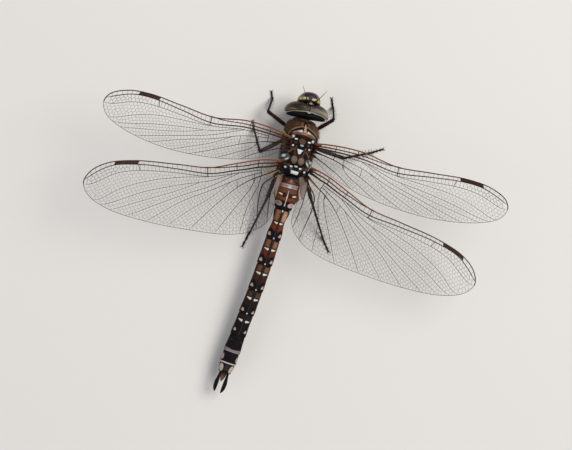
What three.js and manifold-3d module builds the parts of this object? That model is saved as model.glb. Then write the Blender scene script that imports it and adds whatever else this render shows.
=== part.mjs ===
// A male migrant hawker dragonfly (Aeshna mixta) at life size, resting on its six feet.
// Millimetres. The head points to -Y, the tail to +Y, the animal's left is +X and up is +Z.
// The body is laid out round the middle of the thorax, with the floor at z = 0, and the whole
// group is moved at the end so that the middle of its footprint is the origin.

import * as THREE from "three";
import { mergeVertices } from "three/addons/utils/BufferGeometryUtils.js";
import Module from "manifold-3d";

const wasm = await Module();
wasm.setup();

// ---------------------------------------------------------------- driving dimensions

const SEAM = 0.06; // the thin cut that parts two neighbouring pieces
const BODY_SIDES = 20; // faces round the thorax and abdomen
const HEAD_SIDES = 18;
const LEG_SIDES = 8;

// The body's midline, from the neck to the last abdominal segment: it sinks and bends a little left.
const SPINE = new THREE.CatmullRomCurve3([
  new THREE.Vector3(0.42, -8.0, 6.3),
  new THREE.Vector3(0, 0, 6.05),
  new THREE.Vector3(-0.33, 7.0, 6.4),
  new THREE.Vector3(-0.42, 12.0, 6.15),
  new THREE.Vector3(-0.27, 20.0, 5.4),
  new THREE.Vector3(0.1, 29.0, 4.7),
  new THREE.Vector3(0.8, 38.0, 4.0),
  new THREE.Vector3(1.25, 46.4, 3.45),
]);

// Head: its own frame, with the origin in the middle of the two eyes.
const HEAD_PLACE = new THREE.Vector3(0.43, -7.62, 6.35);
const HEAD_YAW = 5; // degrees, the face turned to the animal's left
const HEAD_ROLL = -8; // degrees, the left eye lifted
const EYE_REACH = 4.45; // from the midline to the outer side
const EYE_TOP = 2.7;
const EYE_BOTTOM = -2.55;
const EYE_FRONT = -2.05;
const EYE_BACK = 0.1;
const EYE_HOOK = 1.0; // how much further back the outer part of an eye reaches
const EYE_TIP = 0.35; // where along the head its outer tip lies
const EYE_MID_Z = 0.1;
const EYE_SEAM = [-1.5, -0.15]; // where the two eyes meet along the midline
const FACE_BACK = -1.9; // the plane behind the face plates
const ANTENNA_LENGTH = 3.4;
const ANTENNA_THICK = 0.5;

// Thorax and neck: rows of [y, half width, top z, bottom z].
const NECK = [
  [-6.38, 1.7, 7.6, 4.9],
  [-6.25, 2.2, 8.2, 4.3],
  [-5.95, 2.35, 8.1, 4.0],
  [-5.77, 2.1, 7.9, 4.1],
];
const THORAX = [
  [-5.7, 2.3, 8.0, 4.2],
  [-5.4, 2.75, 8.4, 3.7],
  [-4.7, 3.2, 9.0, 3.05],
  [-3.6, 3.45, 9.5, 2.5],
  [-2.8, 3.45, 9.75, 2.3],
  [-2.2, 3.45, 9.5, 2.25],
  [-1.4, 3.42, 9.9, 2.2],
  [0.4, 3.3, 9.6, 2.3],
  [1.7, 3.15, 9.85, 2.5],
  [3.2, 2.9, 9.45, 2.85],
  [4.2, 2.65, 9.4, 3.2],
  [4.8, 2.3, 8.95, 3.7],
  [5.15, 1.9, 8.5, 4.2],
];
const THORAX_SQUARENESS = 2.4;
const THORAX_WAIST_Z = 5.9; // height of its widest line

// Abdomen: [length, then half width and half height at the front, middle and rear].
const ABDOMEN_START = 5.2;
const ABDOMEN = [
  [1.93, [1.85, 2.0], [1.95, 2.1], [2.05, 2.2]],
  [4.46, [2.15, 2.25], [2.35, 2.25], [1.75, 1.85]],
  [6.21, [1.55, 1.6], [1.2, 1.25], [1.5, 1.35]],
  [5.31, [1.45, 1.3], [1.48, 1.3], [1.56, 1.3]],
  [5.37, [1.46, 1.26], [1.46, 1.25], [1.53, 1.27]],
  [4.89, [1.46, 1.22], [1.48, 1.22], [1.57, 1.25]],
  [4.53, [1.48, 1.2], [1.48, 1.2], [1.57, 1.22]],
  [3.56, [1.5, 1.17], [1.56, 1.17], [1.68, 1.17]],
  [2.32, [1.58, 1.1], [1.64, 1.1], [1.64, 1.08]],
  [1.88, [1.5, 1.0], [1.48, 0.95], [1.25, 0.85]],
];
const ABDOMEN_SQUARENESS = 2.25;
const AURICLE = 0.28; // how far the male's side lobes stand out on the second segment
const CERCUS_LENGTH = 4.1;

// Wings: the hinge, how far the tip is lifted and how far the wing is swept to the rear, in degrees.
const WING_THICK = 0.5;
const WING_STEPS = 3; // straight edges between two named points of an outline
const FORE_LENGTH = 39.7;
const HIND_LENGTH = 39.4;
const WINGS = {
  wing_fore_left: { side: 1, fore: true, hinge: [2.35, -1.7, 9.2], lift: 20, sweep: 0 },
  wing_fore_right: { side: -1, fore: true, hinge: [-2.35, -1.7, 9.2], lift: 8, sweep: -3.4 },
  wing_hind_left: { side: 1, fore: false, hinge: [2.7, 3.2, 8.75], lift: 11, sweep: 16 },
  wing_hind_right: { side: -1, fore: false, hinge: [-2.9, 2.8, 8.75], lift: 3, sweep: 12.7 },
};

// Legs: the root under the thorax, the trochanter, knee, ankle and the tip of the foot.
// Radii are the leg's half thickness at the root, knee and ankle.
const ANKLE_Z = 0.86;
const FOOT_THICK = 0.5;
const LEGS = {
  front_left: {
    root: [1.25, -3.9, 2.75],
    trochanter: [2.75, -3.95, 3.2],
    knee: [7.75, -5.75, 4.9],
    ankle: [7.1, -8.6],
    toe: [7.75, -10.2],
    radii: [0.6, 0.42, 0.27],
  },
  front_right: {
    root: [-1.25, -4.3, 2.75],
    trochanter: [-2.5, -4.9, 3.2],
    knee: [-5.3, -7.9, 5.2],
    ankle: [-4.95, -10.3],
    toe: [-4.1, -12.3],
    radii: [0.6, 0.42, 0.27],
  },
  middle_left: {
    root: [1.4, -1.5, 2.4],
    trochanter: [3.3, -1.0, 3.2],
    knee: [7.1, 2.5, 5.9],
    ankle: [8.9, -1.8],
    toe: [9.65, -3.6],
    radii: [0.62, 0.45, 0.28],
  },
  middle_right: {
    root: [-1.4, -1.5, 2.4],
    trochanter: [-3.2, -1.6, 3.1],
    knee: [-9.3, -1.2, 5.0],
    ankle: [-15.0, -4.1],
    toe: [-17.2, -5.5],
    radii: [0.62, 0.45, 0.28],
  },
  hind_left: {
    root: [1.35, 1.6, 2.5],
    trochanter: [2.3, 3.4, 2.9],
    knee: [2.9, 10.4, 4.3],
    ankle: [3.95, 18.0],
    toe: [4.6, 21.4],
    radii: [0.64, 0.46, 0.3],
  },
  hind_right: {
    root: [-1.35, 1.6, 2.5],
    trochanter: [-2.5, 3.0, 2.9],
    knee: [-5.3, 8.2, 5.0],
    ankle: [-10.2, 14.9],
    toe: [-12.5, 17.6],
    radii: [0.64, 0.46, 0.3],
  },
};

// ---------------------------------------------------------------- materials

const material = (color, roughness, metalness = 0) =>
  new THREE.MeshStandardMaterial({ color, roughness, metalness });

const BROWN = material(0x6f3b24, 0.5);
const DARK = material(0x1c1716, 0.42);
const EYE = material(0x6d6250, 0.2);
const PALE = material(0xcdb98a, 0.5);
const WING = material(0xb9a98f, 0.25);

// ---------------------------------------------------------------- geometry helpers

const vec = (p) => new THREE.Vector3(p[0], p[1], p[2]);
const mix = (a, b, t) => a + (b - a) * t;
const signedPower = (v, p) => Math.sign(v) * Math.pow(Math.abs(v), p);
const ease = (a, b, v) => THREE.MathUtils.smoothstep(v, a, b);

// A closed skin over rings of equal size, with a fan over each end.
function loft(rings) {
  const sides = rings[0].length;
  const points = rings.flat();
  const index = [];
  for (let r = 0; r + 1 < rings.length; r++) {
    for (let i = 0; i < sides; i++) {
      const j = (i + 1) % sides;
      const a = r * sides + i;
      const b = r * sides + j;
      index.push(a, b, a + sides, b, b + sides, a + sides);
    }
  }
  [0, rings.length - 1].forEach((r) => {
    const hub = points.length;
    const middle = new THREE.Vector3();
    rings[r].forEach((p) => middle.addScaledVector(p, 1 / sides));
    points.push(middle);
    for (let i = 0; i < sides; i++) {
      const a = r * sides + i;
      const b = r * sides + ((i + 1) % sides);
      index.push(hub, r ? a : b, r ? b : a);
    }
  });
  const geometry = new THREE.BufferGeometry().setFromPoints(points);
  geometry.setIndex(index);
  return facingOut(geometry);
}

// Turns every face round when the closed surface holds a negative volume.
function facingOut(geometry) {
  const p = geometry.getAttribute("position");
  const index = geometry.index.array;
  const [a, b, c] = [new THREE.Vector3(), new THREE.Vector3(), new THREE.Vector3()];
  let volume = 0;
  for (let i = 0; i < index.length; i += 3) {
    a.fromBufferAttribute(p, index[i]);
    b.fromBufferAttribute(p, index[i + 1]);
    c.fromBufferAttribute(p, index[i + 2]);
    volume += a.dot(b.cross(c));
  }
  if (volume < 0) {
    for (let i = 0; i < index.length; i += 3) {
      [index[i + 1], index[i + 2]] = [index[i + 2], index[i + 1]];
    }
  }
  return geometry;
}

// One ring of a rounded section: half width and two half heights, along the axes across and up.
function ring({ at, across, up, halfWidth, top, bottom = top, squareness = 2, sides = BODY_SIDES }) {
  const power = 2 / squareness;
  return Array.from({ length: sides }, (_, i) => {
    const angle = ((i + 0.5) / sides) * 2 * Math.PI;
    const side = signedPower(Math.cos(angle), power) * halfWidth;
    const rise = signedPower(Math.sin(angle), power);
    return at
      .clone()
      .addScaledVector(across, side)
      .addScaledVector(up, rise * (rise > 0 ? top : bottom));
  });
}

const ALONG_X = new THREE.Vector3(1, 0, 0);
const ALONG_Y = new THREE.Vector3(0, 1, 0);
const ALONG_Z = new THREE.Vector3(0, 0, 1);

// The point of the spine at a given y, by halving, with the directions across it and up from it.
function spineFrame(y) {
  let low = 0;
  let high = 1;
  for (let i = 0; i < 40; i++) {
    const t = (low + high) / 2;
    if (SPINE.getPoint(t).y < y) low = t;
    else high = t;
  }
  const along = SPINE.getTangent(low);
  const across = new THREE.Vector3().crossVectors(along, ALONG_Z).normalize();
  const up = new THREE.Vector3().crossVectors(across, along).normalize();
  return { at: SPINE.getPoint(low), along, across, up };
}

// The same surface with its shared corners merged.
function closedSkin(geometry) {
  const bare = geometry.clone();
  bare.deleteAttribute("normal");
  bare.deleteAttribute("uv");
  return mergeVertices(bare, 1e-4);
}

function toSolid(geometry) {
  const skin = closedSkin(geometry);
  const vertProperties = new Float32Array(skin.getAttribute("position").array);
  const triVerts = new Uint32Array(skin.index.array);
  return new wasm.Manifold(new wasm.Mesh({ numProp: 3, vertProperties, triVerts }));
}

// The geometry less the cutters, which are given already grown by the seam.
function carve(geometry, cutters) {
  let solid = toSolid(geometry);
  for (const cutter of cutters) solid = solid.subtract(toSolid(cutter));
  const parts = solid.decompose().sort((a, b) => b.volume() - a.volume());
  const mesh = parts[0].getMesh();
  const carved = new THREE.BufferGeometry();
  carved.setAttribute("position", new THREE.BufferAttribute(mesh.vertProperties, 3));
  carved.setIndex(new THREE.BufferAttribute(mesh.triVerts, 1));
  return carved;
}

const part = new THREE.Group();

function add(name, geometry, finish, parent = part) {
  geometry.computeVertexNormals();
  const mesh = new THREE.Mesh(geometry, finish);
  mesh.name = name;
  parent.add(mesh);
  return mesh;
}

// ---------------------------------------------------------------- head

const head = new THREE.Group();
head.position.copy(HEAD_PLACE);
head.rotation.set(0, THREE.MathUtils.degToRad(HEAD_ROLL), THREE.MathUtils.degToRad(HEAD_YAW), "ZYX");
part.add(head);

// An eye lies across the head from the midline seam to its outer side. Each section is an oval
// between a front, a back, a top and a bottom, which all close in on the outer tip.
function eyeGeometry(side, grow = 0) {
  const steps = 12;
  const rings = [];
  for (let i = 0; i <= steps; i++) {
    const u = Math.sin(((i / steps) * Math.PI) / 2) * 0.995;
    const fall = Math.sqrt(1 - Math.pow(u, 2.6));
    const inner = ease(0, 0.5, u);
    const foremost = mix(EYE_SEAM[0], EYE_FRONT, inner);
    const front = mix(EYE_TIP, foremost, Math.sqrt(1 - Math.pow(u, 3)));
    const rearmost = mix(EYE_SEAM[1], EYE_BACK, inner) + EYE_HOOK * Math.pow(u, 4);
    const back = mix(EYE_TIP, rearmost, Math.sqrt(1 - Math.pow(u, 12)));
    const dip = 0.28 * Math.exp(-Math.pow(u / 0.13, 2));
    const top = EYE_MID_Z + (EYE_TOP - EYE_MID_Z) * fall - dip;
    const deep = EYE_MID_Z + (EYE_BOTTOM - EYE_MID_Z) * fall;
    const bottom = mix(1.35, deep, ease(0, 0.6, u));
    const x = i ? u * (EYE_REACH + grow) : SEAM / 2 - grow;
    rings.push(
      ring({
        at: new THREE.Vector3(side * x, (front + back) / 2, (top + bottom) / 2),
        across: ALONG_Y,
        up: ALONG_Z,
        halfWidth: (back - front) / 2 + grow,
        top: (top - bottom) / 2 + grow,
        squareness: 2.2,
        sides: HEAD_SIDES,
      }),
    );
  }
  return loft(rings);
}

const eyeCutters = [eyeGeometry(1, SEAM), eyeGeometry(-1, SEAM)];

add("eye_left", eyeGeometry(1), EYE, head);
add("eye_right", eyeGeometry(-1), EYE, head);

// The capsule behind and between the eyes: rows of [y, half width, top, bottom].
const CAPSULE = [
  [FACE_BACK + SEAM, 2.1, 1.7, -2.6],
  [-1.0, 2.9, 1.7, -2.75],
  [0.0, 3.75, 1.55, -2.6],
  [0.6, 3.95, 1.5, -2.3],
  [0.94, 3.7, 1.3, -2.0],
  [1.04, 2.6, 1.0, -1.4],
];
const rowRings = (rows, waistZ, grow = 0) =>
  rows.map(([y, halfWidth, top, bottom], i) =>
    ring({
      at: new THREE.Vector3(0, i ? y : y - grow, waistZ),
      across: ALONG_X,
      up: ALONG_Z,
      halfWidth: halfWidth + grow,
      top: top - waistZ + grow,
      bottom: waistZ - bottom + grow,
      squareness: 2.4,
      sides: HEAD_SIDES,
    }),
  );
add("head", carve(loft(rowRings(CAPSULE, 0)), eyeCutters), DARK, head);

// A face plate between two heights: a rounded front on a flat back. Rows are [z, half width, depth].
function facePlate(rows) {
  const rings = rows.map(([z, halfWidth, depth]) =>
    Array.from({ length: 11 }, (_, i) => {
      const angle = (i / 10) * Math.PI;
      const x = signedPower(Math.cos(angle), 0.8) * halfWidth;
      const y = FACE_BACK - signedPower(Math.sin(angle), 0.8) * depth;
      return new THREE.Vector3(x, y, z);
    }),
  );
  return carve(loft(rings), eyeCutters);
}

const FRONS_FOOT = -0.35;
const CLYPEUS_FOOT = -1.45;
const LABRUM_FOOT = -2.35;
add(
  "frons",
  facePlate([
    [FRONS_FOOT + SEAM, 2.1, 1.85],
    [0.3, 2.2, 2.1],
    [1.0, 2.15, 2.25],
    [1.5, 1.95, 2.0],
    [1.78, 1.4, 1.35],
  ]),
  PALE,
  head,
);
add(
  "clypeus",
  facePlate([
    [CLYPEUS_FOOT + SEAM, 1.95, 1.6],
    [-0.9, 2.1, 1.85],
    [FRONS_FOOT, 2.1, 1.8],
  ]),
  PALE,
  head,
);
add(
  "labrum",
  facePlate([
    [LABRUM_FOOT + SEAM, 1.35, 1.05],
    [-2.0, 1.75, 1.5],
    [CLYPEUS_FOOT, 1.9, 1.55],
  ]),
  PALE,
  head,
);

// The jaws and lower lip close the mouth below the labrum.
const MOUTH = [
  [-3.2, 1.0, LABRUM_FOOT, -2.8],
  [-2.5, 1.55, LABRUM_FOOT, -3.1],
  [FACE_BACK, 1.65, LABRUM_FOOT, -3.15],
];
add("mouthparts", carve(loft(rowRings(MOUTH, LABRUM_FOOT - 0.25)), eyeCutters), DARK, head);

// The vertex is the little knob between the frons and the eyes, and the feelers rise beside it.
const knob = new THREE.SphereGeometry(0.62, 12, 8).scale(1.1, 0.85, 0.95).translate(0, -1.85, 1.95);
const fronsCutter = facePlate([
  [FRONS_FOOT, 2.1 + SEAM, 1.9],
  [1.0, 2.15 + SEAM, 2.3],
  [1.5 + SEAM, 1.95 + SEAM, 2.05],
  [1.78 + SEAM, 1.4 + SEAM, 1.4],
]);
const capsuleCutter = loft(rowRings(CAPSULE, 0, SEAM));
add("vertex", carve(knob, [...eyeCutters, fronsCutter, capsuleCutter]), DARK, head);

for (const [name, side] of [
  ["antenna_left", 1],
  ["antenna_right", -1],
]) {
  const feeler = new THREE.CylinderGeometry(
    ANTENNA_THICK / 2,
    ANTENNA_THICK / 2 + 0.06,
    ANTENNA_LENGTH,
    8,
  );
  feeler.translate(0, ANTENNA_LENGTH / 2, 0);
  const mesh = add(name, feeler, DARK, head);
  mesh.position.set(side * 0.95, -2.35, 2.1);
  mesh.quaternion.setFromUnitVectors(ALONG_Y, new THREE.Vector3(side * 0.5, -0.8, 0.33).normalize());
}

// ---------------------------------------------------------------- neck and thorax

function trunkRings(rows, grow = 0) {
  return rows.map(([y, halfWidth, top, bottom], i) => {
    const reach = i === 0 ? -grow : i === rows.length - 1 ? grow : 0;
    return ring({
      at: new THREE.Vector3(spineFrame(y).at.x, y + reach, THORAX_WAIST_Z),
      across: ALONG_X,
      up: ALONG_Z,
      halfWidth: halfWidth + grow,
      top: top - THORAX_WAIST_Z + grow,
      bottom: THORAX_WAIST_Z - bottom + grow,
      squareness: THORAX_SQUARENESS,
    });
  });
}

const thoraxCutter = loft(trunkRings(THORAX, SEAM));
add("prothorax", loft(trunkRings(NECK)), BROWN);
add("thorax", loft(trunkRings(THORAX)), BROWN);

// ---------------------------------------------------------------- abdomen

function abdomenSegment(start, [length, front, middle, rear], bulge = 0) {
  const stations = [
    [SEAM, front, 0.94],
    [0.12 * length, front, 1],
    [0.45 * length, middle, 1],
    [0.88 * length, rear, 1],
    [length, rear, 0.95],
  ];
  return loft(
    stations.map(([offset, [halfWidth, halfHeight], share], i) =>
      ring({
        ...spineFrame(start + offset),
        halfWidth: halfWidth * share + (i === 2 ? bulge : 0),
        top: halfHeight * share,
        squareness: ABDOMEN_SQUARENESS,
      }),
    ),
  );
}

let station = ABDOMEN_START;
ABDOMEN.forEach((segment, i) => {
  const bulge = i === 1 ? AURICLE : 0;
  add("abdomen_" + (i + 1), abdomenSegment(station, segment, bulge), i < 4 ? BROWN : DARK);
  station += segment[0];
});

// The claspers: two long leaves above a short middle plate.
const tail = spineFrame(station);

function claspers(side) {
  const rows = [
    [0, 0.3, 0.3, 0.72],
    [0.25, 0.32, 0.3, 0.8],
    [0.55, 0.42, 0.27, 0.86],
    [0.8, 0.38, 0.26, 0.82],
    [1, 0.25, 0.25, 0.66],
  ];
  return loft(
    rows.map(([t, halfWidth, halfHeight, out]) =>
      ring({
        at: tail.at
          .clone()
          .addScaledVector(tail.along, SEAM + t * CERCUS_LENGTH)
          .addScaledVector(tail.across, side * out)
          .addScaledVector(tail.up, 0.32 - 0.35 * t * t),
        across: tail.across,
        up: tail.up,
        halfWidth,
        top: halfHeight,
        sides: 8,
      }),
    ),
  );
}
add("cercus_left", claspers(1), DARK);
add("cercus_right", claspers(-1), DARK);
add(
  "epiproct",
  loft(
    [
      [0, 0.62],
      [0.5, 0.5],
      [1, 0.3],
    ].map(([t, halfWidth]) =>
      ring({
        at: tail.at
          .clone()
          .addScaledVector(tail.along, SEAM + t * 1.9)
          .addScaledVector(tail.up, -0.42),
        across: tail.across,
        up: tail.up,
        halfWidth,
        top: 0.26,
        sides: 8,
      }),
    ),
  ),
  BROWN,
);

// ---------------------------------------------------------------- wings

// Outlines in the wing's own plane: x runs out along the front edge, y to the rear.
function foreOutline() {
  const shape = new THREE.Shape();
  shape.moveTo(-1.0, -0.35);
  shape.splineThru([
    new THREE.Vector2(4.5, -1.0),
    new THREE.Vector2(10.0, -0.95),
    new THREE.Vector2(16.8, 0.3),
    new THREE.Vector2(24.0, -0.05),
    new THREE.Vector2(31.0, -0.4),
    new THREE.Vector2(35.6, 0.2),
    new THREE.Vector2(38.9, 1.8),
    new THREE.Vector2(FORE_LENGTH, 3.6),
    new THREE.Vector2(38.6, 5.6),
    new THREE.Vector2(34.8, 7.3),
    new THREE.Vector2(27.0, 8.5),
    new THREE.Vector2(19.0, 8.3),
    new THREE.Vector2(10.5, 6.9),
    new THREE.Vector2(4.2, 4.7),
    new THREE.Vector2(1.0, 2.7),
    new THREE.Vector2(-1.0, 2.2),
  ]);
  return shape;
}

function hindOutline() {
  const shape = new THREE.Shape();
  shape.moveTo(-1.0, -0.4);
  shape.splineThru([
    new THREE.Vector2(3.6, -0.55),
    new THREE.Vector2(9.0, 0.2),
    new THREE.Vector2(14.3, 1.0),
    new THREE.Vector2(21.0, 0.4),
    new THREE.Vector2(29.0, -0.25),
    new THREE.Vector2(34.6, 0.2),
    new THREE.Vector2(38.0, 1.8),
    new THREE.Vector2(HIND_LENGTH, 4.0),
    new THREE.Vector2(38.4, 6.4),
    new THREE.Vector2(34.6, 9.0),
    new THREE.Vector2(27.0, 11.4),
    new THREE.Vector2(18.0, 13.1),
    new THREE.Vector2(10.5, 13.9),
    new THREE.Vector2(5.5, 13.2),
    new THREE.Vector2(2.2, 10.9),
  ]);
  shape.lineTo(0.9, 6.2);
  shape.lineTo(-1.0, 2.6);
  return shape;
}

for (const [name, wing] of Object.entries(WINGS)) {
  const outline = wing.fore ? foreOutline() : hindOutline();
  const blade = new THREE.ExtrudeGeometry(outline, {
    depth: WING_THICK,
    bevelEnabled: false,
    curveSegments: WING_STEPS,
  });
  blade.translate(0, 0, -WING_THICK / 2);
  const place = new THREE.Matrix4()
    .makeTranslation(...wing.hinge)
    .multiply(new THREE.Matrix4().makeRotationZ(wing.side * THREE.MathUtils.degToRad(wing.sweep)))
    .multiply(new THREE.Matrix4().makeRotationY(-wing.side * THREE.MathUtils.degToRad(wing.lift)));
  if (wing.side < 0) place.multiply(new THREE.Matrix4().makeRotationZ(Math.PI));
  if (wing.side < 0) blade.scale(1, -1, 1);
  blade.applyMatrix4(place);
  add(name, carve(facingOut(closedSkin(blade)), [thoraxCutter]), WING);
}

// ---------------------------------------------------------------- legs

// A straight round-ended limb from one centre to another.
function limb(from, to, radiusFrom, radiusTo) {
  const along = to.clone().sub(from).normalize();
  const across = new THREE.Vector3().crossVectors(along, ALONG_Z).normalize();
  const up = new THREE.Vector3().crossVectors(across, along);
  const rows = [
    [from, -0.92, 0.4, radiusFrom],
    [from, -0.5, 0.87, radiusFrom],
    [from, 0.1, 1, radiusFrom],
    [to, -0.1, 1, radiusTo],
    [to, 0.5, 0.87, radiusTo],
    [to, 0.92, 0.4, radiusTo],
  ];
  return loft(
    rows.map(([centre, shift, share, radius]) =>
      ring({
        at: centre.clone().addScaledVector(along, shift * radius),
        across,
        up,
        halfWidth: share * radius,
        top: share * radius,
        sides: LEG_SIDES,
      }),
    ),
  );
}

// Where two limbs meet, each stops short of the joint by as much as keeps their round ends apart.
function setBack(before, joint, after, reach) {
  const inward = joint.clone().sub(before).normalize();
  const outward = after.clone().sub(joint).normalize();
  const half = inward.angleTo(outward) / 2;
  return (reach + SEAM) / (2 * Math.cos(half));
}

const pull = (from, towards, distance) =>
  from.clone().addScaledVector(towards.clone().sub(from).normalize(), distance);

for (const [name, leg] of Object.entries(LEGS)) {
  const [thick, mid, thin] = leg.radii;
  const root = vec(leg.root);
  const trochanter = vec(leg.trochanter);
  const knee = vec(leg.knee);
  const ankle = new THREE.Vector3(leg.ankle[0], leg.ankle[1], ANKLE_Z);
  const toe = new THREE.Vector3(leg.toe[0], leg.toe[1], 0);
  const hip = setBack(root, trochanter, knee, thick + mid);
  const bend = setBack(trochanter, knee, ankle, mid * 0.9 + mid * 0.75);
  add(
    "coxa_" + name,
    carve(limb(root, pull(trochanter, root, hip), thick * 1.15, thick), [thoraxCutter]),
    DARK,
  );
  add(
    "femur_" + name,
    limb(pull(trochanter, knee, hip), pull(knee, trochanter, bend), mid, mid * 0.9),
    DARK,
  );
  add("tibia_" + name, limb(pull(knee, ankle, bend), ankle, mid * 0.75, thin), DARK);

  // The foot lies flat on the floor from under the ankle to the claws.
  const heading = Math.atan2(toe.y - ankle.y, toe.x - ankle.x);
  const length = Math.hypot(toe.x - ankle.x, toe.y - ankle.y);
  const sole = new THREE.Shape();
  sole.absarc(0, 0, 0.34, Math.PI / 2, (3 * Math.PI) / 2);
  sole.absarc(length - 0.3, 0, 0.3, -Math.PI / 2, Math.PI / 2);
  const foot = new THREE.ExtrudeGeometry(sole, {
    depth: FOOT_THICK,
    bevelEnabled: false,
    curveSegments: 5,
  });
  foot.rotateZ(heading).translate(ankle.x, ankle.y, 0);
  add("tarsus_" + name, foot, DARK);
}

// ---------------------------------------------------------------- the part's own origin

part.updateMatrixWorld(true);
const box = new THREE.Box3().setFromObject(part, true);
const middle = box.getCenter(new THREE.Vector3());
part.position.set(-middle.x, -middle.y, -box.min.z);

const root = new THREE.Group();
root.add(part);
export default root;
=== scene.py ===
"""Looks for a male migrant hawker dragonfly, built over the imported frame.

Sizes are millimetres in the body's own axes: head to -Y, tail to +Y, the animal's left to +X, the
floor at z = 0. ORIGIN carries them to the frame, and make_piece() turns them into metres.
"""

import math
import random
from types import SimpleNamespace

import bpy
import numpy as np
from mathutils import Matrix, Vector, geometry, noise


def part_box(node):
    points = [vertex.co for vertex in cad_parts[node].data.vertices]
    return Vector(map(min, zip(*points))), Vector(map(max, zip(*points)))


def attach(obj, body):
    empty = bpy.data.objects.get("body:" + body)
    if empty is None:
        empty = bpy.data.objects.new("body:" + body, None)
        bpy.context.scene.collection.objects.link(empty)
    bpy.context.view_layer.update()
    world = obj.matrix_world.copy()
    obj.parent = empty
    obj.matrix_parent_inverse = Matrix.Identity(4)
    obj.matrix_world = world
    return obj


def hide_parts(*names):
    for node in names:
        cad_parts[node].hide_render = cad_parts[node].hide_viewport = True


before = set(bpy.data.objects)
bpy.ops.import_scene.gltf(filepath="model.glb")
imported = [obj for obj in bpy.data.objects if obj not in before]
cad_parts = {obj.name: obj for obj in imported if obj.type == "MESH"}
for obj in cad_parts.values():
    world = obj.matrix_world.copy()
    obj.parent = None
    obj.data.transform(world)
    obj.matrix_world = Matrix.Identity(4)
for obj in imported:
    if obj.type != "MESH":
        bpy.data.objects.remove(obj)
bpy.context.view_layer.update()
random.seed(11)

MM = 0.001

# ---------------------------------------------------------------- sizes shared with the solids

SPINE_POINTS = [
    (0.42, -8.0, 6.3), (0.0, 0.0, 6.05), (-0.33, 7.0, 6.4), (-0.42, 12.0, 6.15),
    (-0.27, 20.0, 5.4), (0.1, 29.0, 4.7), (0.8, 38.0, 4.0), (1.25, 46.4, 3.45),
]
SPINE_REACH = 0.4  # half the stretch of the midline that gives its direction
HEAD_PLACE = np.array([0.43, -7.62, 6.35])
HEAD_YAW = math.radians(5)
HEAD_ROLL = math.radians(-8)
EYE_REACH = 4.45
EYE_TOP = 2.7
EYE_BOTTOM = -2.55
EYE_FRONT = -2.05
EYE_BACK = 0.1
EYE_HOOK = 1.0
EYE_TIP = 0.35
EYE_MID_Z = 0.1
EYE_SEAM = (-1.5, -0.15)
FACE_BACK = -1.9
# Rows of the trunk and the head's shell: y, half width, top and bottom.
CAPSULE = [
    (-1.84, 2.1, 1.7, -2.6), (-1.0, 2.9, 1.7, -2.75), (0.0, 3.75, 1.55, -2.6), (0.6, 3.95, 1.5, -2.3),
    (0.92, 3.93, 1.25, -1.9), (1.1, 3.6, 1.0, -1.5), (1.2, 2.5, 0.8, -1.0), (1.26, 1.2, 0.6, -0.6),
]
COLLAR = [
    (-6.4, 1.05, 6.9, 5.0), (-6.3, 1.5, 7.5, 4.7), (-6.15, 2.0, 7.95, 4.3), (-5.98, 2.3, 8.15, 4.05),
    (-5.82, 2.35, 8.15, 3.98), (-5.66, 2.28, 8.05, 4.0), (-5.5, 2.0, 7.8, 4.2),
]
THORAX = [
    (-5.7, 2.3, 8.0, 4.2), (-5.4, 2.75, 8.4, 3.7), (-4.7, 3.2, 9.0, 3.05), (-3.6, 3.45, 9.5, 2.5),
    (-2.8, 3.45, 9.75, 2.3), (-2.2, 3.45, 9.5, 2.25), (-1.4, 3.42, 9.9, 2.2), (0.4, 3.3, 9.6, 2.3),
    (1.7, 3.15, 9.85, 2.5), (3.2, 2.9, 9.45, 2.85), (4.2, 2.65, 9.4, 3.2), (4.8, 2.3, 8.95, 3.7),
    (5.15, 1.9, 8.5, 4.2),
]
THORAX_WAIST_Z = 5.9
SHELL_POWER = 2 / 2.4  # how square the trunk and the head's shell are
THORAX_MIDDLE_Y = -2.5
# Each segment of the abdomen: its length, then its half width and height in front, midway and behind.
ABDOMEN_START = 5.2
ABDOMEN = [
    (1.93, (1.85, 2.0), (1.95, 2.1), (2.05, 2.2)),
    (4.46, (2.15, 2.25), (2.35, 2.25), (1.75, 1.85)),
    (6.21, (1.55, 1.6), (1.2, 1.25), (1.5, 1.35)),
    (5.31, (1.45, 1.3), (1.48, 1.3), (1.56, 1.3)),
    (5.37, (1.46, 1.26), (1.46, 1.25), (1.53, 1.27)),
    (4.89, (1.46, 1.22), (1.48, 1.22), (1.57, 1.25)),
    (4.53, (1.48, 1.2), (1.48, 1.2), (1.57, 1.22)),
    (3.56, (1.5, 1.17), (1.56, 1.17), (1.68, 1.17)),
    (2.32, (1.58, 1.1), (1.64, 1.1), (1.64, 1.08)),
    (1.88, (1.5, 1.0), (1.48, 0.95), (1.25, 0.85)),
]
WING_TRIM = 0.9972  # keeps the thickness of the veins at the tip inside the wing's length
FORE_LENGTH = 39.7
HIND_LENGTH = 39.4
# Each wing: its side, whether it is a fore wing, its hinge, and its lift and sweep in degrees.
WINGS = {
    "wing_fore_left": (1, True, (2.35, -1.7, 9.2), 20, 0),
    "wing_fore_right": (-1, True, (-2.35, -1.7, 9.2), 8, -3.4),
    "wing_hind_left": (1, False, (2.7, 3.2, 8.75), 11, 16),
    "wing_hind_right": (-1, False, (-2.9, 2.8, 8.75), 3, 12.7),
}

# ---------------------------------------------------------------- small mathematics


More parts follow.
